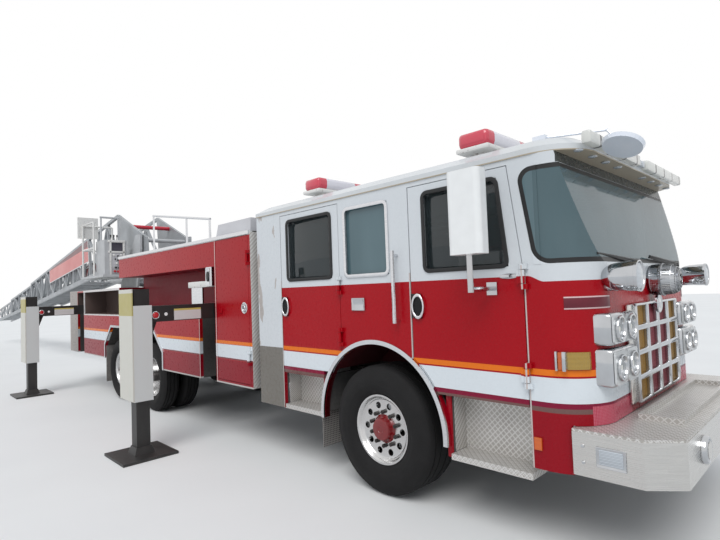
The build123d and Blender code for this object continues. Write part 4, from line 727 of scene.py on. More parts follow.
def make_tyre(name, centre, radius, width):
    """A tyre turned with its walls, ribs and grooves, its shoulders then cut across."""
    half = width / 2
    groove_places = [half * 0.36 * share for share in (-1.9 / 1.2, -0.62, 0.62, 1.9 / 1.2)]
    wall = (
        (-half + 0.058, 0.292), (-half + 0.052, 0.306), (-half + 0.030, 0.322), (-half + 0.012, 0.352),
        (-half + 0.008, 0.372), (-half + 0.004, 0.378), (-half + 0.003, 0.392), (-half, radius * 0.76),
        (-half + 0.005, radius - 0.085), (-half + 0.010, radius - 0.078), (-half + 0.014, radius - 0.052),
        (-half + 0.028, radius - 0.026), (-half + 0.044, radius - 0.010),
    )
    crown = []
    for groove in groove_places:
        crown += [
            (groove - 0.007, radius - 0.0015), (groove - 0.005, radius - 0.015),
            (groove + 0.005, radius - 0.015), (groove + 0.007, radius - 0.0015),
        ]
    other_wall = tuple((-out, row_radius) for out, row_radius in reversed(wall))
    tyre = turned(name, wall + tuple(crown) + other_wall, centre, tread_steps)
    for face in tyre.data.polygons:
        ahead = face.center.x - centre[0]
        above = face.center.z - centre[2]
        cut = int((atan2(above, ahead) + pi) / (2 * pi) * tread_steps) % 3 == 0
        on_shoulder = groove_places[-1] + 0.007 < abs(face.center.y - centre[1]) < half - 0.012
        face.select = cut and on_shoulder and hypot(above, ahead) > radius - 0.05
    bpy.ops.object.mode_set(mode="EDIT")
    bpy.ops.mesh.select_mode(type="FACE")
    bpy.ops.mesh.inset(thickness=0.003)
    bpy.ops.mesh.extrude_region_shrink_fatten(TRANSFORM_OT_shrink_fatten={"value": -0.010})
    bpy.ops.object.mode_set(mode="OBJECT")
    return tyre


front_tyre = make_tyre("tread_front_right", (front_axle_x, -1.020, front_wheel_high), 0.5555, 0.420)
complete(front_tyre, tyre_rubber, "front_wheel_right", replaced="front_tyre_right")
left_tyre = copy_to(front_tyre, "tread_front_left", mirror=True)
complete(left_tyre, tyre_rubber, "front_wheel_left", replaced="front_tyre_left")
inner_tyre = make_tyre("tread_rear_inner", (rear_axle_x, -0.770, rear_wheel_high), 0.5295, 0.272)
outer_tyre = copy_to(inner_tyre, "tread_rear_outer", (0, -0.330, 0))
twin_tyres = join([outer_tyre, inner_tyre], "twin_tyres")
for row, shift in (("first", 0.0), ("second", -tandem_spacing)):
    for side, facing in sides:
        twins = copy_to(twin_tyres, f"tread_rear_{row}_{side}", (shift, 0, 0), mirror=facing > 0)
        complete(twins, tyre_rubber, f"rear_wheels_{row}_{side}", replaced=f"rear_tyres_{row}_{side}")
bpy.data.objects.remove(twin_tyres)

# The wheels: forged aluminium discs, polished in front, with ten hand holes and ten nuts round
# a hub. The front hubs have red caps, and the rear hubs stand far out of their deep dishes.
holes, bore_ring, nut_ring = 10, 0.205, 0.146
wheel_polish = weathered(
    "polished_wheel", (188, 188, 190), (216, 215, 213), (6.0, 4.0), (0.14, 0.12), metallic=1.0
)
nut_steel = weathered("dark_nut_steel", (52, 52, 54), (84, 80, 78), (80.0, 5.0), 0.42, metallic=0.8)
cap_red = weathered("hub_cap_red", (128, 16, 24), (82, 20, 24), (24.0, 5.0), 0.3, share=0.6, coat=0.5)


def round_the_hub(name, first, centre, ring_radius, out, **shape):
    """Cylinders that lie along the axle, spread evenly round a wheel's centre."""
    made = []
    for count in range(holes):
        around = (count + first) * 2 * pi / holes
        ahead, above = ring_radius * cos(around), ring_radius * sin(around)
        place = (centre[0] + ahead, centre[1] + out, centre[2] + above)
        add = bpy.ops.mesh.primitive_cylinder_add
        made.append(begin(f"{name}_{count}", add, rotation=(pi / 2, 0, 0), location=place, **shape))
    return made


def make_wheel(kind, centre, half_width, disc, hub_out, hub_radius):
    """A rim turned with its disc, hand holes bored through it, and its nuts and hub."""
    inner, outer = -half_width, half_width
    rim_profile = (
        (inner - 0.012, 0.300), (inner, 0.300), (inner + 0.010, 0.2855), (outer - 0.010, 0.2855),
        (outer, 0.300), (outer + 0.012, 0.300), (outer + 0.010, 0.284), (outer - 0.004, 0.272),
        (outer - 0.012, 0.267), (min(disc + 0.040, outer - 0.014), 0.262), (disc + 0.026, 0.252),
        (disc + 0.022, 0.238), (disc + 0.022, 0.120), (disc - 0.002, 0.120), (disc - 0.002, 0.240),
        (disc - 0.004, 0.262), (inner + 0.006, 0.272), (inner - 0.008, 0.284),
    )
    rim = turned("rim", rim_profile, centre, 80)
    bores = round_the_hub("bore", 0, centre, bore_ring, -disc, vertices=20, radius=0.029, depth=0.12)
    bores = join(bores, "hand_bores")
    take(rim)
    boring = rim.modifiers.new("boring", "BOOLEAN")
    boring.operation = "DIFFERENCE"
    boring.object = bores
    bpy.ops.object.modifier_apply(modifier="boring")
    bpy.data.objects.remove(bores)
    nuts = round_the_hub("nut", 0.5, centre, nut_ring, -disc - 0.035, vertices=6, radius=0.019, depth=0.030)
    stud = {"vertices": 10, "radius": 0.010, "depth": 0.034}
    nuts = join(nuts + round_the_hub("stud", 0.5, centre, nut_ring, -disc - 0.038, **stud), "nuts")
    soften(nuts, 0.002)
    hub_profile = (
        (disc - 0.05, core), (disc - 0.05, 0.124), (disc + 0.022, 0.124), (disc + 0.034, 0.112),
        (disc + 0.034, hub_radius + 0.008), (disc + 0.046, hub_radius), (hub_out - 0.020, hub_radius),
        (hub_out - 0.006, hub_radius - 0.008), (hub_out - 0.001, hub_radius - 0.022),
        (hub_out - 0.001, 0.030), (hub_out - 0.005, 0.026), (hub_out - 0.005, core),
    )
    hub = turned("hub", hub_profile, centre, 48)
    hub_finish = cap_red if kind == "front" else nut_steel
    return (rim, "wheel", wheel_polish), (nuts, "nuts", nut_steel), (hub, "hub", hub_finish)


wheels = {
    "front": make_wheel("front", (front_axle_x, -1.020, front_wheel_high), 0.1525, 0.100, 0.180, 0.100),
    "rear": make_wheel("rear", (rear_axle_x, -0.935, rear_wheel_high), 0.2445, -0.012, 0.259, 0.079),
}
for kind, row, shift, wheel_body, wheel_rim in (
    ("front", "", 0.0, "front_wheel", "front_rim"),
    ("rear", "_first", 0.0, "rear_wheels", "rear_rims"),
    ("rear", "_second", -tandem_spacing, "rear_wheels", "rear_rims"),
):
    for side, facing in sides:
        for wheel_piece, stem, finish in wheels[kind]:
            copied = copy_to(wheel_piece, f"{stem}_{kind}{row}_{side}", (shift, 0, 0), mirror=facing > 0)
            replaced = f"{wheel_rim}{row}_{side}" if stem == "wheel" else None
            complete(copied, finish, f"{wheel_body}{row}_{side}", replaced=replaced)
for made in wheels["front"] + wheels["rear"]:
    bpy.data.objects.remove(made[0])

# The running gear: frame rails, cross-members, axles and knuckles are forged and pressed steel
# in black chassis paint, with road dust in the corners. The engine is cast iron.
chassis_black = weathered(
    "chassis_black", (24, 24, 25), (66, 60, 54), (7.0, 7.0), (0.4, 0.4), 0.7,
    bump=(0.001, 0.4), bump_grain=(50.0, 4.0),
)
dress(("chassis_frame", "front_axle", "rear_axles", "knuckle_right", "knuckle_left"), chassis_black)
dress(("turntable_pedestal",), chassis_black)
cast_iron = weathered(
    "cast_iron_grey", (58, 60, 62), (88, 88, 88), (90.0, 5.0), 0.6, bump=(0.002, 0.6), metallic=0.3
)
dress(("engine_block",), cast_iron)

# The bumper: a bent stainless channel, brushed, with two round driving lamps on its front face.
# A lamp in a chromed rim and two rivets sit on each of its sides.
forward = (1, 0, 0)
stainless = weathered(
    "brushed_stainless", (186, 184, 182), (222, 220, 216), (14.0, 6.0, (0.4, 0.4, 26)), (0.16, 0.2),
    bump=(0.0005, 0.3), metallic=1.0,
)
dress(("front_bumper",), stainless)
dress(("bright_trim",), bright)
mirror_chrome = weathered(
    "mirror_chrome", (204, 206, 210), (174, 176, 178), (9.0, 5.0), (0.04, 0.1), metallic=1.0
)
clear_lamp = Finish("clear_lamp", roughness=0.06, coat=0.5)
facets = clear_lamp.left.wave(0.016) * clear_lamp.high.wave(0.016)
clear_lamp.show("Base Color", clear_lamp.mix(abs(facets), colour(206, 212, 218), colour(138, 144, 150)))
clear_lamp.show("Roughness", 0.05 + abs(facets) * 0.1)
clear_lamp.emboss(facets, 0.001, 0.6)


def chromed(piece, angle=35, body="truck"):
    """Completes a chromed fitting."""
    complete(piece, mirror_chrome, body, angle)


def lamp_clear(piece, angle=35):
    """Completes the glass of a clear lamp."""
    complete(piece, clear_lamp, "truck", angle)


for side, facing in sides:
    rivets = []
    for height in (0.765, 0.665):
        rivet_ends = [(1.737, facing * left, height) for left in (1.219, 1.226)]
        rivets.append(rod("rivet", *rivet_ends, 0.011, 16, 0.003))
    chromed(join(rivets, f"bumper_rivets_{side}"))
    lefts = (facing * 1.2185, facing * 1.2285)
    corner_rim = block(f"corner_lamp_rim_{side}", (1.815, 1.985), lefts, (0.655, 0.780))
    press_in(corner_rim, 1, facing, 0.005, 0.014, 0.006)
    chromed(corner_rim)
    lefts = (facing * 1.2205, facing * 1.2265)
    lamp_clear(block(f"corner_lamp_{side}", (1.833, 1.967), lefts, (0.673, 0.762), 0.0025))
    driving_lamp = spot(2.261, facing * 0.700, 0.720)
    chromed(turned(
        f"driving_lamp_rim_{side}",
        ((0.001, 0.086), (0.022, 0.086), (0.032, 0.080), (0.034, 0.072), (0.030, 0.066), (0.022, 0.064),
         (0.001, 0.064)),
        driving_lamp, 40, forward,
    ), 50)
    lamp_clear(turned(
        f"driving_lamp_{side}",
        ((0.020, core), (0.020, 0.0655), (0.028, 0.0655), (0.032, 0.050), (0.034, 0.025), (0.035, core)),
        driving_lamp, 40, forward,
    ), 50)

# The grille: a chromed frame of square bars over a backing sheet, on the flat of the cab's face.
# The sheet is amber behind the outer columns and dark red behind the inner ones.
grille_middle = spot(1.8405, 0, 1.265)
grille_frame = begin(
    "grille_frame", bpy.ops.mesh.primitive_grid_add, x_subdivisions=4, y_subdivisions=4, size=1,
    location=grille_middle, rotation=(0, pi / 2, 0),
)
with shaping():
    bpy.ops.mesh.select_mode(type="FACE")
    bpy.ops.mesh.select_all(action="SELECT")
    bpy.ops.transform.resize(value=(1, 1.06, 0.69), center_override=grille_middle)
    bpy.ops.mesh.inset(thickness=0.018, use_individual=True)
    bpy.ops.mesh.delete(type="FACE")
    thicken((0.045, 0, 0))
soften(grille_frame, 0.004)
complete(grille_frame, mirror_chrome, "truck", replaced="front_grille")
grille_sheet = Finish("grille_backing", roughness=0.32, metallic=0.3)
slats = grille_sheet.left.wave(0.033)
sheet_red = grille_sheet.mix(abs(slats) * 0.6, colour(150, 52, 66), colour(74, 28, 36))
sheet_amber = grille_sheet.mix(abs(slats) * 0.6, colour(176, 132, 52), colour(88, 62, 26))
grille_sheet.show("Base Color", grille_sheet.mix(grille_sheet.out > 0.265, sheet_red, sheet_amber))
grille_sheet.show("Roughness", 0.25 + abs(slats) * 0.2)
grille_sheet.emboss(slats, 0.004, 0.7)
sheet = block("grille_sheet", (1.8405, 1.852), (-0.52, 0.52), (0.930, 1.600), 0.002)
complete(sheet, grille_sheet, "truck")
for side, facing in sides:
    lefts = (facing * 0.532, facing * 0.640)
    cheek = block(f"grille_cheek_{side}", (1.8405, 1.866), lefts, (0.925, 1.605), 0.008)
    complete(cheek, stainless, "truck")
chromed(turned(
    "blank_medallion",
    ((-0.004, core), (-0.004, 0.074), (0.010, 0.074), (0.014, 0.068), (0.012, 0.058), (0.010, 0.054),
     (0.013, 0.030), (0.014, core)),
    spot(1.886, 0, 1.590), 40, forward,
), 40)

# The headlamps: four chromed housings, two on each side of the grille, with two lamps in each.
# A round bezel stands round the glass of every lamp; the parabolic bowl and its bulb behind it are a painted
# reflection on the lens.
for side, facing in sides:
    for tier, low, top in (("upper", 1.365, 1.570), ("lower", 1.105, 1.345)):
        lefts = (facing * 0.630, facing * 1.070)
        chromed(block(f"headlamp_housing_{tier}_{side}", (1.700, 1.8955), lefts, (low, top), 0.022), 60)
        for left in (0.740, 0.965):
            chromed(turned(
                f"headlamp_bezel_{tier}_{side}_{round(left * 1000)}",
                ((core, 0.083), (0.010, 0.086), (0.018, 0.082), (0.019, 0.074), (0.012, 0.068),
                 (core, 0.066)),
                spot(1.9065, facing * left, (low + top) / 2), 36, forward,
            ), 50)

# The siren and the two spotlamps: spun bullets of chromed brass on short feet under the
# windshield. Each spotlamp has a rounded back, and the siren has a slotted mouth.
spotlamp_left, siren_high, siren_steps = 0.950, 1.770, 48
for side, facing in sides:
    lamp_middle = spot(2.035, facing * spotlamp_left, 1.800)
    chromed(turned(
        f"spotlamp_shell_{side}",
        ((-0.235, core), (-0.230, 0.022), (-0.215, 0.046), (-0.190, 0.068), (-0.160, 0.082), (-0.120, 0.090),
         (-0.060, 0.0935), (-0.012, 0.0945), (-0.010, 0.099), (0.004, 0.099), (0.008, 0.092), (0.002, 0.087),
         (-0.010, 0.084), (-0.012, core)),
        lamp_middle, 40, forward,
    ), 50)
    lamp_clear(turned(
        f"spotlamp_glass_{side}",
        ((-0.0115, core), (-0.0115, 0.0835), (0.000, 0.080), (0.008, 0.050), (0.011, core)),
        lamp_middle, 40, forward,
    ), 50)
    foot_ends = [(end, facing * spotlamp_left, 1.735) for end in (1.815, 1.930)]
    chromed(rod(f"spotlamp_foot_{side}", *foot_ends, 0.026, 20, 0.004), 50)
siren = turned(
    "siren_shell",
    ((-0.185, core), (-0.185, 0.100), (-0.150, 0.118), (-0.090, 0.121), (-0.086, 0.126), (-0.074, 0.126),
     (-0.070, 0.119), (-0.010, 0.112), (0.020, 0.096), (0.034, 0.070), (0.038, 0.040), (0.030, 0.038),
     (0.026, core)),
    spot(2.010, 0, siren_high), siren_steps, forward,
)
for face in siren.data.polygons:
    around = atan2(face.center.z - siren_high, face.center.y)
    slot_here = int((around + pi) / (2 * pi) * siren_steps) % 4 == 0
    face.select = face.normal.x > 0.25 and slot_here and face.area > 0.0002
bpy.ops.object.mode_set(mode="EDIT")
bpy.ops.mesh.select_mode(type="FACE")
bpy.ops.mesh.inset(thickness=0.0015, use_individual=True)
bpy.ops.mesh.extrude_region_shrink_fatten(TRANSFORM_OT_shrink_fatten={"value": -0.008})
bpy.ops.object.mode_set(mode="OBJECT")
chromed(siren, 40)

# Visor lamps: two long white moulded lamp bodies along the visor's front edge, with amber marker
# lamps between them, and a row of flush clear lamps under it.
visor_lamp = Finish("visor_lamp", roughness=0.2, coat=0.4)
modules = visor_lamp.left.wave(0.25)
cells = visor_lamp.mix(modules > 0.93, colour(214, 214, 208), colour(86, 84, 82))
visor_lamp.show("Base Color", cells)
visor_lamp.show("Roughness", 0.16 + abs(modules) * 0.1)
visor_lamp.emboss(visor_lamp.left.wave(0.018), 0.0008, 0.5)
for side, facing in sides:
    lefts = (facing * 0.10, facing * 1.12)
    long_lamp = block(f"visor_lamp_{side}", (1.790, 1.852), lefts, (2.655, 2.738), 0.014)
    complete(long_lamp, visor_lamp, "truck")
    lefts = (facing * 0.012, facing * 0.078)
    lamp_clear(block(f"visor_marker_{side}", (1.792, 1.835), lefts, (2.670, 2.720), 0.008))
    for count, left in enumerate((0.30, 0.55, 0.80, 1.05)):
        lamp_clear(turned(
            f"under_visor_lamp_{side}_{count}",
            ((-0.002, core), (-0.002, 0.030), (0.005, 0.030), (0.009, 0.024), (0.010, core)),
            spot(1.745, facing * left, 2.6372), 24, (0, 0, -1),
        ), 50)

# Small cab fittings: a bare oval medallion on each front door, a bright vent by each fixed
# window, and a raised strip with pale edges round each front corner.
corner_axis_high = 1.642
corner_maroon = Finish("corner_strip_maroon", roughness=0.35)
strip_wear = corner_maroon.noise(20.0, 5.0)
strip_colour = corner_maroon.mix(strip_wear * 0.6, colour(104, 16, 40), colour(70, 14, 28))
pale_edge = abs(corner_maroon.high - corner_axis_high) > 0.032
corner_maroon.show("Base Color", corner_maroon.mix(pale_edge, strip_colour, colour(206, 176, 176)))
corner_maroon.show("Roughness", 0.3 + strip_wear * 0.2)


def corner_drum(name, facing, high, radius, depth):
    """An upright drum with its axis where a front corner of the cab has its centre."""
    middle = spot(corner_station, facing * corner_left, high)
    add = bpy.ops.mesh.primitive_cylinder_add
    return begin(name, add, vertices=128, radius=radius, depth=depth, location=middle)


def slice_off(place, normal, **cleared):
    """Cuts the piece being shaped with a plane, clears one side and closes the cut."""
    bpy.ops.mesh.select_all(action="SELECT")
    bpy.ops.mesh.bisect(plane_co=place, plane_no=normal, use_fill=True, **cleared)


for side, facing in sides:
    door_oval = oval_plate(
        f"blank_oval_{side}", spot(1.300, facing * 1.2225, 1.832), (0.150, 0.036, 0.007), 36, 0.002
    )
    chromed(door_oval, body=f"front_door_{side}")
    lefts = (facing * 1.2195, facing * 1.236)
    vent = block(f"side_vent_{side}", (-0.268, -0.102), lefts, (1.590, 1.705), 0.006)
    press_in(vent, 1, facing, 0.004, 0.014, 0.008)
    chromed(vent)
    lefts = (facing * 1.150, facing * 1.2385)
    for name, stations in (("rear", (1.596, 1.612)), ("middle", (1.642, 1.664))):
        chromed(block(f"turn_lamp_{name}_{side}", stations, lefts, (1.212, 1.338), 0.005))
    corner_trim = corner_drum(f"corner_trim_{side}", facing, corner_axis_high, 0.3345, 0.082)
    with shaping():
        slice_off(spot(1.655, 0, 0), forward, clear_inner=True)
        slice_off(spot(1.8395, 0, 0), forward, clear_outer=True)
        slice_off((0, facing * corner_left, 0), (0, facing, 0), clear_inner=True)
    soften(corner_trim, 0.002)
    complete(corner_trim, corner_maroon, "truck")

# The lower corners and arch ends: curved red corner plates under the headlamps, and flat plates
# that close the wheel arch off from the step wells. They are folded sheet, sprayed with the cab.
for side, facing in sides:
    corner_plate = corner_drum(f"apron_corner_{side}", facing, 0.9555, 0.3293, 0.183)
    with shaping():
        slice_off(spot(1.680, 0, 0), forward, clear_inner=True)
    complete(corner_plate, cab_paint, "truck")
    lefts = (facing * 0.600, facing * 1.190)
    for end, stations, low in (("front", (0.703, 0.752), 0.475), ("rear", (-0.749, -0.703), 0.605)):
        plate = block(f"arch_end_{end}_{side}", stations, lefts, (low, 0.958), 0.006)
        complete(plate, cab_paint, "truck")

# The tread plate: rolled aluminium sheet with raised bars in a basket pattern, on the bumper's
# deck, the cab steps with their end plates, the body's front guards and the hose bed.
bar_pitch = 0.046
tread = Finish("rolled_tread_plate", roughness=0.34, metallic=0.45)
tread_wear = tread.noise(6.0, 6.0)
lay_one = (tread.station + tread.left + tread.high).wave(bar_pitch)
lay_one = lay_one * (tread.station - tread.left + tread.high).wave(bar_pitch * 2)
lay_two = (tread.station - tread.left - tread.high).wave(bar_pitch)
lay_two = lay_two * (tread.station + tread.left - tread.high).wave(bar_pitch * 2)
raised_bars = ((abs(lay_one) > 0.62) + (abs(lay_two) > 0.62)).at_most(1.0)
tread_colour = tread.mix(tread_wear, colour(190, 187, 182), colour(160, 155, 149))
tread.show("Base Color", tread.mix(raised_bars, tread_colour, colour(212, 210, 207)))
tread.show("Roughness", 0.34 + tread_wear * 0.2 - raised_bars * 0.12)
tread.emboss(raised_bars, 0.0016, 0.6)
dress(("tread_plates",), tread)
for side, facing in sides:
    lefts = (facing * 0.660, facing * 1.268)
    guard = block(f"body_front_guard_{side}", (-1.8878, -1.8810), lefts, (0.700, 2.490), 0.002)
    complete(guard, tread, "truck")
    lefts = (facing * 0.986, facing * 1.156)
    for step, stations, low in (("crew", (-1.3515, -1.3453), 0.605), ("front", (0.7523, 0.7547), 0.517)):
        step_end = block(f"{step}_step_end_{side}", stations, lefts, (low, 1.026), 0.001)
        complete(step_end, tread, "truck")

# The hose bed and its hatches: folded aluminium, painted pale grey and left dull on top. The
# paint is scratched along the bed by the hose couplings.
bed_grey = weathered(
    "hose_bed_grey", (212, 212, 216), (150, 148, 150), (4.0, 7.0, (0.4, 1, 1)), (0.3, 0.3), 0.7,
    bump=(0.001, 0.3), bump_grain=(30.0, 4.0), metallic=0.15,
)
dress(("hose_bed",), bed_grey)

# Lenses and light bars: moulded polycarbonate. The headlamp lenses are fluted clear, the turn and
# side lamps amber, and the bars have red end domes with clear modules between them.
lens = Finish("fluted_lens", roughness=0.08, coat=0.6)
flutes = lens.left.wave(0.014)
# Painted reflection: round each headlamp's centre the lens is painted grey, brighter outwards, as the chrome
# bowl, with a near-white spot as the bulb and its glint.
bowl = (abs(lens.out - 0.8525) - 0.1125).length_with(abs(lens.high - 1.34625) - 0.12125)
bowl_reflection_colour = lens.mix((bowl / 0.075).at_most(1.0), colour(96, 100, 104), colour(206, 208, 208))
bowl_reflection_colour = lens.mix(bowl < 0.018, bowl_reflection_colour, colour(250, 248, 236))
lens_colour = lens.mix(abs(flutes) * 0.35, bowl_reflection_colour, colour(132, 136, 138))
amber_flutes = abs(lens.high.wave(0.012)) * 0.5
amber_colour = lens.mix(amber_flutes, colour(212, 98, 26), colour(176, 76, 20))
gold_colour = lens.mix(amber_flutes, colour(172, 138, 58), colour(124, 100, 36))
amber_colour = lens.mix(lens.station > 1.655, amber_colour, gold_colour)
amber = (lens.out > 1.08) * (lens.station < 1.85)
lens.show("Base Color", lens.mix(amber, lens_colour, amber_colour))
lens.show("Roughness", 0.06 + abs(flutes) * 0.08)
lens.emboss(flutes + lens.high.wave(0.030) * 0.5, 0.0012, 0.7)
dress(("lamp_lenses",), lens)
bar_lens = Finish("light_bar_lens", roughness=0.1, coat=0.6)
bar_flutes = bar_lens.left.wave(0.020)
bar_red = bar_lens.mix(abs(bar_flutes) * 0.4, colour(214, 70, 88), colour(176, 40, 62))
bar_clear = bar_lens.mix(abs(bar_flutes) * 0.3, colour(226, 224, 230), colour(180, 176, 188))
bar_lens.show("Base Color", bar_lens.mix(bar_lens.out.between(0.520, 0.935), bar_red, bar_clear))
bar_lens.show("Roughness", 0.08 + abs(bar_flutes) * 0.1)
bar_lens.emboss(bar_flutes, 0.001, 0.6)
tray_rim = 0.012
for place, middle, half_depth, inner in (("front", 0.950, 0.145, 0.300), ("rear", -1.010, 0.135, 0.360)):
    for side, facing in sides:
        stations = (middle - half_depth, middle + half_depth)
        lefts = (facing * inner, facing * 1.060)
        tray = [block("bar_tray", stations, lefts, (2.812, 2.850), 0.012)]
        for left in (facing * (inner + 0.160), facing * 0.900):
            lefts = (left - 0.05, left + 0.05)
            tray.append(block("bar_foot", (middle - 0.07, middle + 0.07), lefts, (2.7505, 2.814), 0.006))
        tray = join(tray, f"bar_tray_{place}_{side}")
        complete(tray, white_enamel, "truck", replaced="light_bars")
        stations = (stations[0] + tray_rim, stations[1] - tray_rim)
        lefts = (facing * (inner + tray_rim), facing * (1.060 - tray_rim))
        hood = block(f"bar_hood_{place}_{side}", stations, lefts, (2.848, 2.972), 0.036)
        complete(hood, bar_lens, "truck", 50, replaced="light_bars")

# The seats and dashboard: woven covers over moulded foam on steel boxes, and a grained plastic
# dashboard with the steering wheel on its column.
seat_places = (
    (0.640, -0.800, 1), (0.640, 0.800, 1), (-0.260, -0.850, -1), (-0.260, 0.850, -1),
    (-1.360, -0.800, 1), (-1.360, 0.000, 1), (-1.360, 0.800, 1),
)
first_station, first_left = seat_places[0][:2]
back_shift, most_swell = -0.200, 0.012
grained = weathered("grained_plastic", (38, 38, 40), (58, 58, 60), (160.0, 3.0), 0.55, bump=(0.0006, 0.5))
dress(("dashboard", "seat_bases"), grained)
weave = Finish("woven_cover", roughness=0.85)
threads = weave.station.wave(0.006) * weave.left.wave(0.006) + weave.high.wave(0.006)
weave_share = abs(threads) * 0.5 + weave.noise(4.0) * 0.4
weave.show("Base Color", weave.mix(weave_share, colour(44, 46, 52), colour(74, 76, 82)))
weave.show("Roughness", 0.8 + abs(threads) * 0.1)
weave.emboss(threads, 0.0008, 0.6)


def stuffed(name, size, middle):
    """A crowned pad, remeshed and swollen by a cloth simulation under pressure."""
    pad = block(name, *[(at - length / 2, at + length / 2) for at, length in zip(middle, size)], 0.03)
    with shaping():
        bpy.ops.mesh.subdivide(number_cuts=3)
    remesh = pad.modifiers.new("remesh", "REMESH")
    remesh.mode = "VOXEL"
    remesh.voxel_size = 0.014
    bpy.ops.object.modifier_apply(modifier="remesh")
    before = [v.co.copy() for v in pad.data.vertices]
    cloth = pad.modifiers.new("cloth", "CLOTH")
    cloth.settings.use_pressure = True
    cloth.settings.uniform_pressure_force = 4.0
    cloth.settings.effector_weights.gravity = 0
    for step in range(1, 13):
        bpy.context.scene.frame_set(step)
    bpy.ops.object.modifier_apply(modifier="cloth")
    for vertex, old in zip(pad.data.vertices, before):
        moved = vertex.co - old
        if moved.length > most_swell:
            vertex.co = old + moved.normalized() * most_swell
    finer = pad.modifiers.new("finer", "SUBSURF")
    finer.levels = 1
    finer.render_levels = 1
    bpy.ops.object.modifier_apply(modifier="finer")
    return pad


first_cushion = stuffed("first_cushion", (0.436, 0.456, 0.096), (first_station, first_left, 1.502))
first_back = stuffed("first_backrest", (0.086, 0.456, 0.676), (first_station + back_shift, first_left, 1.914))
for count, (seat_station, seat_left, facing) in enumerate(seat_places):
    for kind, first, push in (("cushion", first_cushion, 0.0), ("backrest", first_back, back_shift)):
        move = (seat_station - first_station + push * facing - push, seat_left - first_left, 0)
        pad = copy_to(first, f"seat_{kind}_{count}", move)
        complete(pad, weave, "truck", 60, replaced="seats")
bpy.data.objects.remove(first_cushion)
bpy.data.objects.remove(first_back)

# The outriggers: box-section steel beams in black with a red lamp and a white reflector on the
# forward face, and jack legs whose forward face is white over a stainless cover plate.
beam_paint = Finish("outrigger_paint", roughness=0.4)
out, high = beam_paint.out, beam_paint.high
beam_dirt = beam_paint.noise(8.0, 6.0)
outer_plate = out > 2.262
leg_column = (out > 2.05) * (high < 1.69) * (1 - outer_plate)
beam_colour = beam_paint.mix(beam_dirt * 0.5, colour(22, 22, 23), colour(54, 52, 50))
beam_colour = beam_paint.mix(leg_column * (high > 0.614), beam_colour, colour(206, 208, 206))
olive_band = high.between(1.577, 1.834)
cover_colour = beam_paint.mix(olive_band, colour(203, 201, 192), colour(176, 166, 108))
beam_colour = beam_paint.mix(outer_plate, beam_colour, cover_colour)
on_reflector = out.between(1.447, 1.787)
beam_colour = beam_paint.mix(on_reflector * high.between(1.502, 1.631), beam_colour, colour(206, 204, 202))
beam_colour = beam_paint.mix(on_reflector * high.between(1.612, 1.634), beam_colour, colour(196, 178, 96))
small_lamp = (out - 1.884).length_with(high - 1.578) < 0.020
beam_paint.show("Base Color", beam_paint.mix(small_lamp, beam_colour, colour(232, 232, 230)))
beam_paint.show("Roughness", 0.3 + beam_dirt * 0.3)
leg_steel = weathered(
    "jack_leg_steel", (30, 30, 31), (74, 72, 70), (10.0, 6.0, (1, 1, 0.2)), (0.3, 0.3), 0.6
)
for end in ("front", "rear"):
    for side, facing in sides:
        dress((f"outrigger_beam_{end}_{side}",), beam_paint)
        dress((f"jack_leg_{end}_{side}",), leg_steel)
red_lens = Finish("red_lamp_lens", roughness=0.16, coat=0.5)
lens_rings = red_lens.high.wave(0.012)
red_lens.show("Base Color", red_lens.mix(abs(lens_rings) * 0.5, colour(206, 24, 34), colour(140, 14, 24)))
red_lens.emboss(lens_rings, 0.0008, 0.5)
for end, side, facing, face_station in (
    ("front", "right", -1, -2.7525), ("front", "left", 1, -2.9425),
    ("rear", "right", -1, -8.2105), ("rear", "left", 1, -8.4005),
):
    beam_lamp = spot(face_station, facing * 2.006, 1.572)
    chromed(turned(
        f"beam_lamp_rim_{end}_{side}",
        ((-0.001, core), (-0.001, 0.0455), (0.008, 0.0455), (0.011, 0.041), (0.009, 0.037), (0.004, 0.0365),
         (0.004, core)),
        beam_lamp, 32, forward,
    ), 50, f"outrigger_{end}_{side}")
    red_glass = turned(
        f"beam_lamp_{end}_{side}",
        ((0.0035, core), (0.0035, 0.0362), (0.008, 0.034), (0.012, 0.022), (0.013, core)),
        beam_lamp, 32, forward,
    )
    complete(red_glass, red_lens, f"outrigger_{end}_{side}", 50)

# The turntable and its platform: welded steel in grey-white, with an aluminium console and rails.
# The console's knobs are moulded in white, black and red, and its levers are black with grips.
console_face = -7.4405
table_paint = weathered(
    "turntable_grey", (196, 198, 200), (132, 130, 128), (5.0, 7.0), (0.34, 0.3), 0.6,
    bump=(0.001, 0.3), bump_grain=(40.0, 4.0),
)
dress(("turntable", "lift_barrels"), table_paint)
dress(("platform_rails",), white_enamel)
screen_black = weathered("console_panel", (46, 44, 56), (66, 62, 74), (40.0, 4.0), (0.2, 0.3))
screen = block("console_screen", (console_face, -7.432), (-0.955, -0.755), (2.740, 2.905), 0.003)
press_in(screen, 0, 1, 0.010, 0.010, 0.004)
complete(screen, screen_black, "turntable")
board = block("console_board", (console_face, -7.435), (-0.965, -0.745), (2.290, 2.700), 0.002)
complete(board, bed_grey, "turntable")
white_knob = (white_enamel, "mirror_white")
black_knob = (pan_black, "cab_plastic")
red_knob = (red_lens, "lens_red")
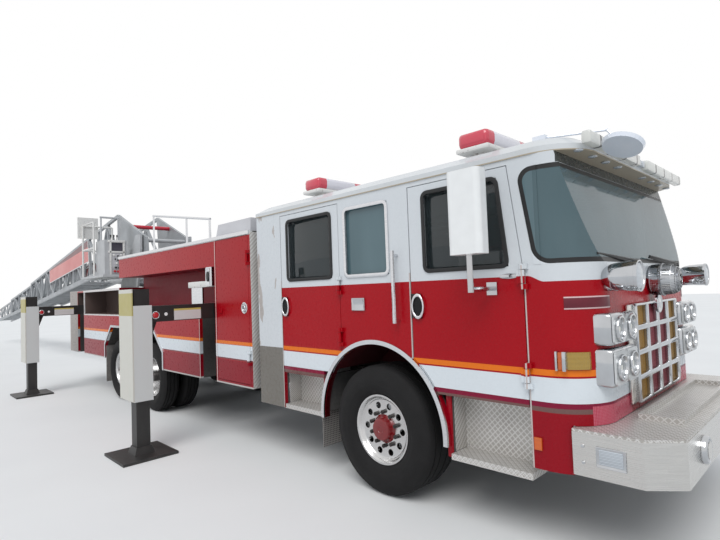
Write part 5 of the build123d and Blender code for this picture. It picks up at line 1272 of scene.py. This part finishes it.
for count, (left, height, radius, (finish, slot)) in enumerate((
    (-0.925, 2.655, 0.022, white_knob), (-0.850, 2.640, 0.017, black_knob),
    (-0.785, 2.655, 0.022, white_knob), (-0.900, 2.575, 0.015, black_knob),
    (-0.840, 2.560, 0.022, black_knob), (-0.780, 2.575, 0.015, white_knob),
    (-0.870, 2.490, 0.022, white_knob), (-0.800, 2.480, 0.016, black_knob),
    (-0.890, 2.405, 0.022, black_knob), (-0.825, 2.400, 0.024, black_knob),
    (-0.910, 2.330, 0.024, red_knob), (-0.850, 2.325, 0.024, red_knob),
)):
    knob = turned(
        f"console_knob_{count}",
        ((-0.003, core), (-0.003, radius * 0.6), (0.012, radius * 0.6), (0.016, radius),
         (0.034, radius * 0.9), (0.038, radius * 0.6), (0.038, core)),
        spot(-7.4355, left, height), 16, forward,
    )
    complete(knob, finish, "turntable", 40)
for name, lefts, heights in (
    ("left", (-0.745, -0.712), (2.262, 2.925)), ("right", (-0.998, -0.965), (2.262, 2.925)),
    ("shelf", (-1.030, -0.700), (2.700, 2.735)), ("top", (-1.030, -0.700), (2.910, 2.957)),
):
    strip = block(f"console_frame_{name}", (console_face, -7.420), lefts, heights)
    complete(strip, white_enamel, "turntable")
for count, left in enumerate((-0.940, -0.880, -0.820)):
    lever = join([
        rod("lever_stem", (-7.560, left, 2.955), (-7.545, left, 3.035), 0.006, 10, 0.001),
        rod("lever_grip", (-7.545, left, 3.030), (-7.537, left, 3.075), 0.014, 14, 0.004),
    ], f"console_lever_{count}")
    complete(lever, pan_black, "turntable")
chromed_rod = weathered(
    "chromed_rod", (206, 208, 210), (168, 168, 166), (12.0, 4.0), (0.05, 0.15), metallic=1.0
)
dress(("lift_rods",), chromed_rod)

# The ladder: three nested sections of welded steel box and tube in silver-grey enamel, with
# blank red boards along the outermost one.
board_lean = radians(6)
ladder_enamel = weathered(
    "ladder_enamel", (176, 180, 184), (122, 122, 120), (3.0, 7.0), (0.3, 0.3), 0.7,
    bump=(0.0008, 0.3), bump_grain=(60.0, 3.0), metallic=0.25,
)
dress(("ladder_base", "ladder_mid", "ladder_fly"), ladder_enamel)
board_paint = Finish("board_red", roughness=0.3, coat=0.3)
faded = board_paint.noise(2.0, 5.0)
run = (board_paint.station + 7.150) * -1.0
rise = board_paint.high - 2.950
along_board = run * cos(board_lean) - rise * sin(board_lean)
across_board = run * sin(board_lean) + rise * cos(board_lean)
board_colour = board_paint.mix(faded, colour(206, 112, 106), colour(186, 84, 84))
board_colour = board_paint.mix(across_board > 0.530, board_colour, colour(96, 30, 38))
pale_border = (across_board < 0.172) + (along_board < 3.475) + (along_board > 7.325)
board_colour = board_paint.mix(pale_border.at_most(1.0), board_colour, colour(204, 202, 202))
board_colour = board_paint.mix(along_board < 3.0, board_colour, colour(196, 24, 52))
board_paint.show("Base Color", board_colour)
board_paint.show("Roughness", 0.26 + faded * 0.2)
dress(("ladder_boards",), board_paint)

# Mirrors and mudflaps: moulded white housings with glass on their rear faces, a round look-down
# glass over the near front corner, and plain rubber sheets behind the wheels.
housing_white = Finish("mirror_housing_white", roughness=0.3, coat=0.3)
smudge = housing_white.noise(12.0, 4.0)
housing_colour = housing_white.mix(smudge * 0.3, colour(238, 239, 238), colour(196, 196, 194))
arm_part = housing_white.high < 1.98
housing_white.show("Base Color", housing_white.mix(arm_part, housing_colour, colour(190, 190, 192)))
housing_white.show("Metallic", arm_part)
housing_white.show("Roughness", 0.3 - arm_part * 0.14 + smudge * 0.1)
dress(("mirror_right", "mirror_left"), housing_white)
lookdown_chrome = weathered(
    "lookdown_chrome", (238, 240, 246), (214, 222, 234), (8.0, 4.0), (0.08, 0.1), metallic=0.25, coat=0.5
)
dress(("lookdown_mirror",), lookdown_chrome)
flap_rubber = Finish("mudflap_rubber", roughness=0.7)
flap_dots = abs(flap_rubber.left.wave(0.040) * flap_rubber.high.wave(0.040))
flap_dust = flap_rubber.noise(5.0, 6.0)
flap_colour = flap_rubber.mix(flap_dust, colour(150, 146, 142), colour(112, 108, 104))
flap_rubber.show("Base Color", flap_rubber.mix(flap_dots > 0.6, flap_colour, colour(46, 45, 45)))
flap_rubber.show("Roughness", 0.6 + flap_dust * 0.3)
flap_rubber.emboss(flap_dots, 0.001, 0.5)
dress(("mudflaps",), flap_rubber)
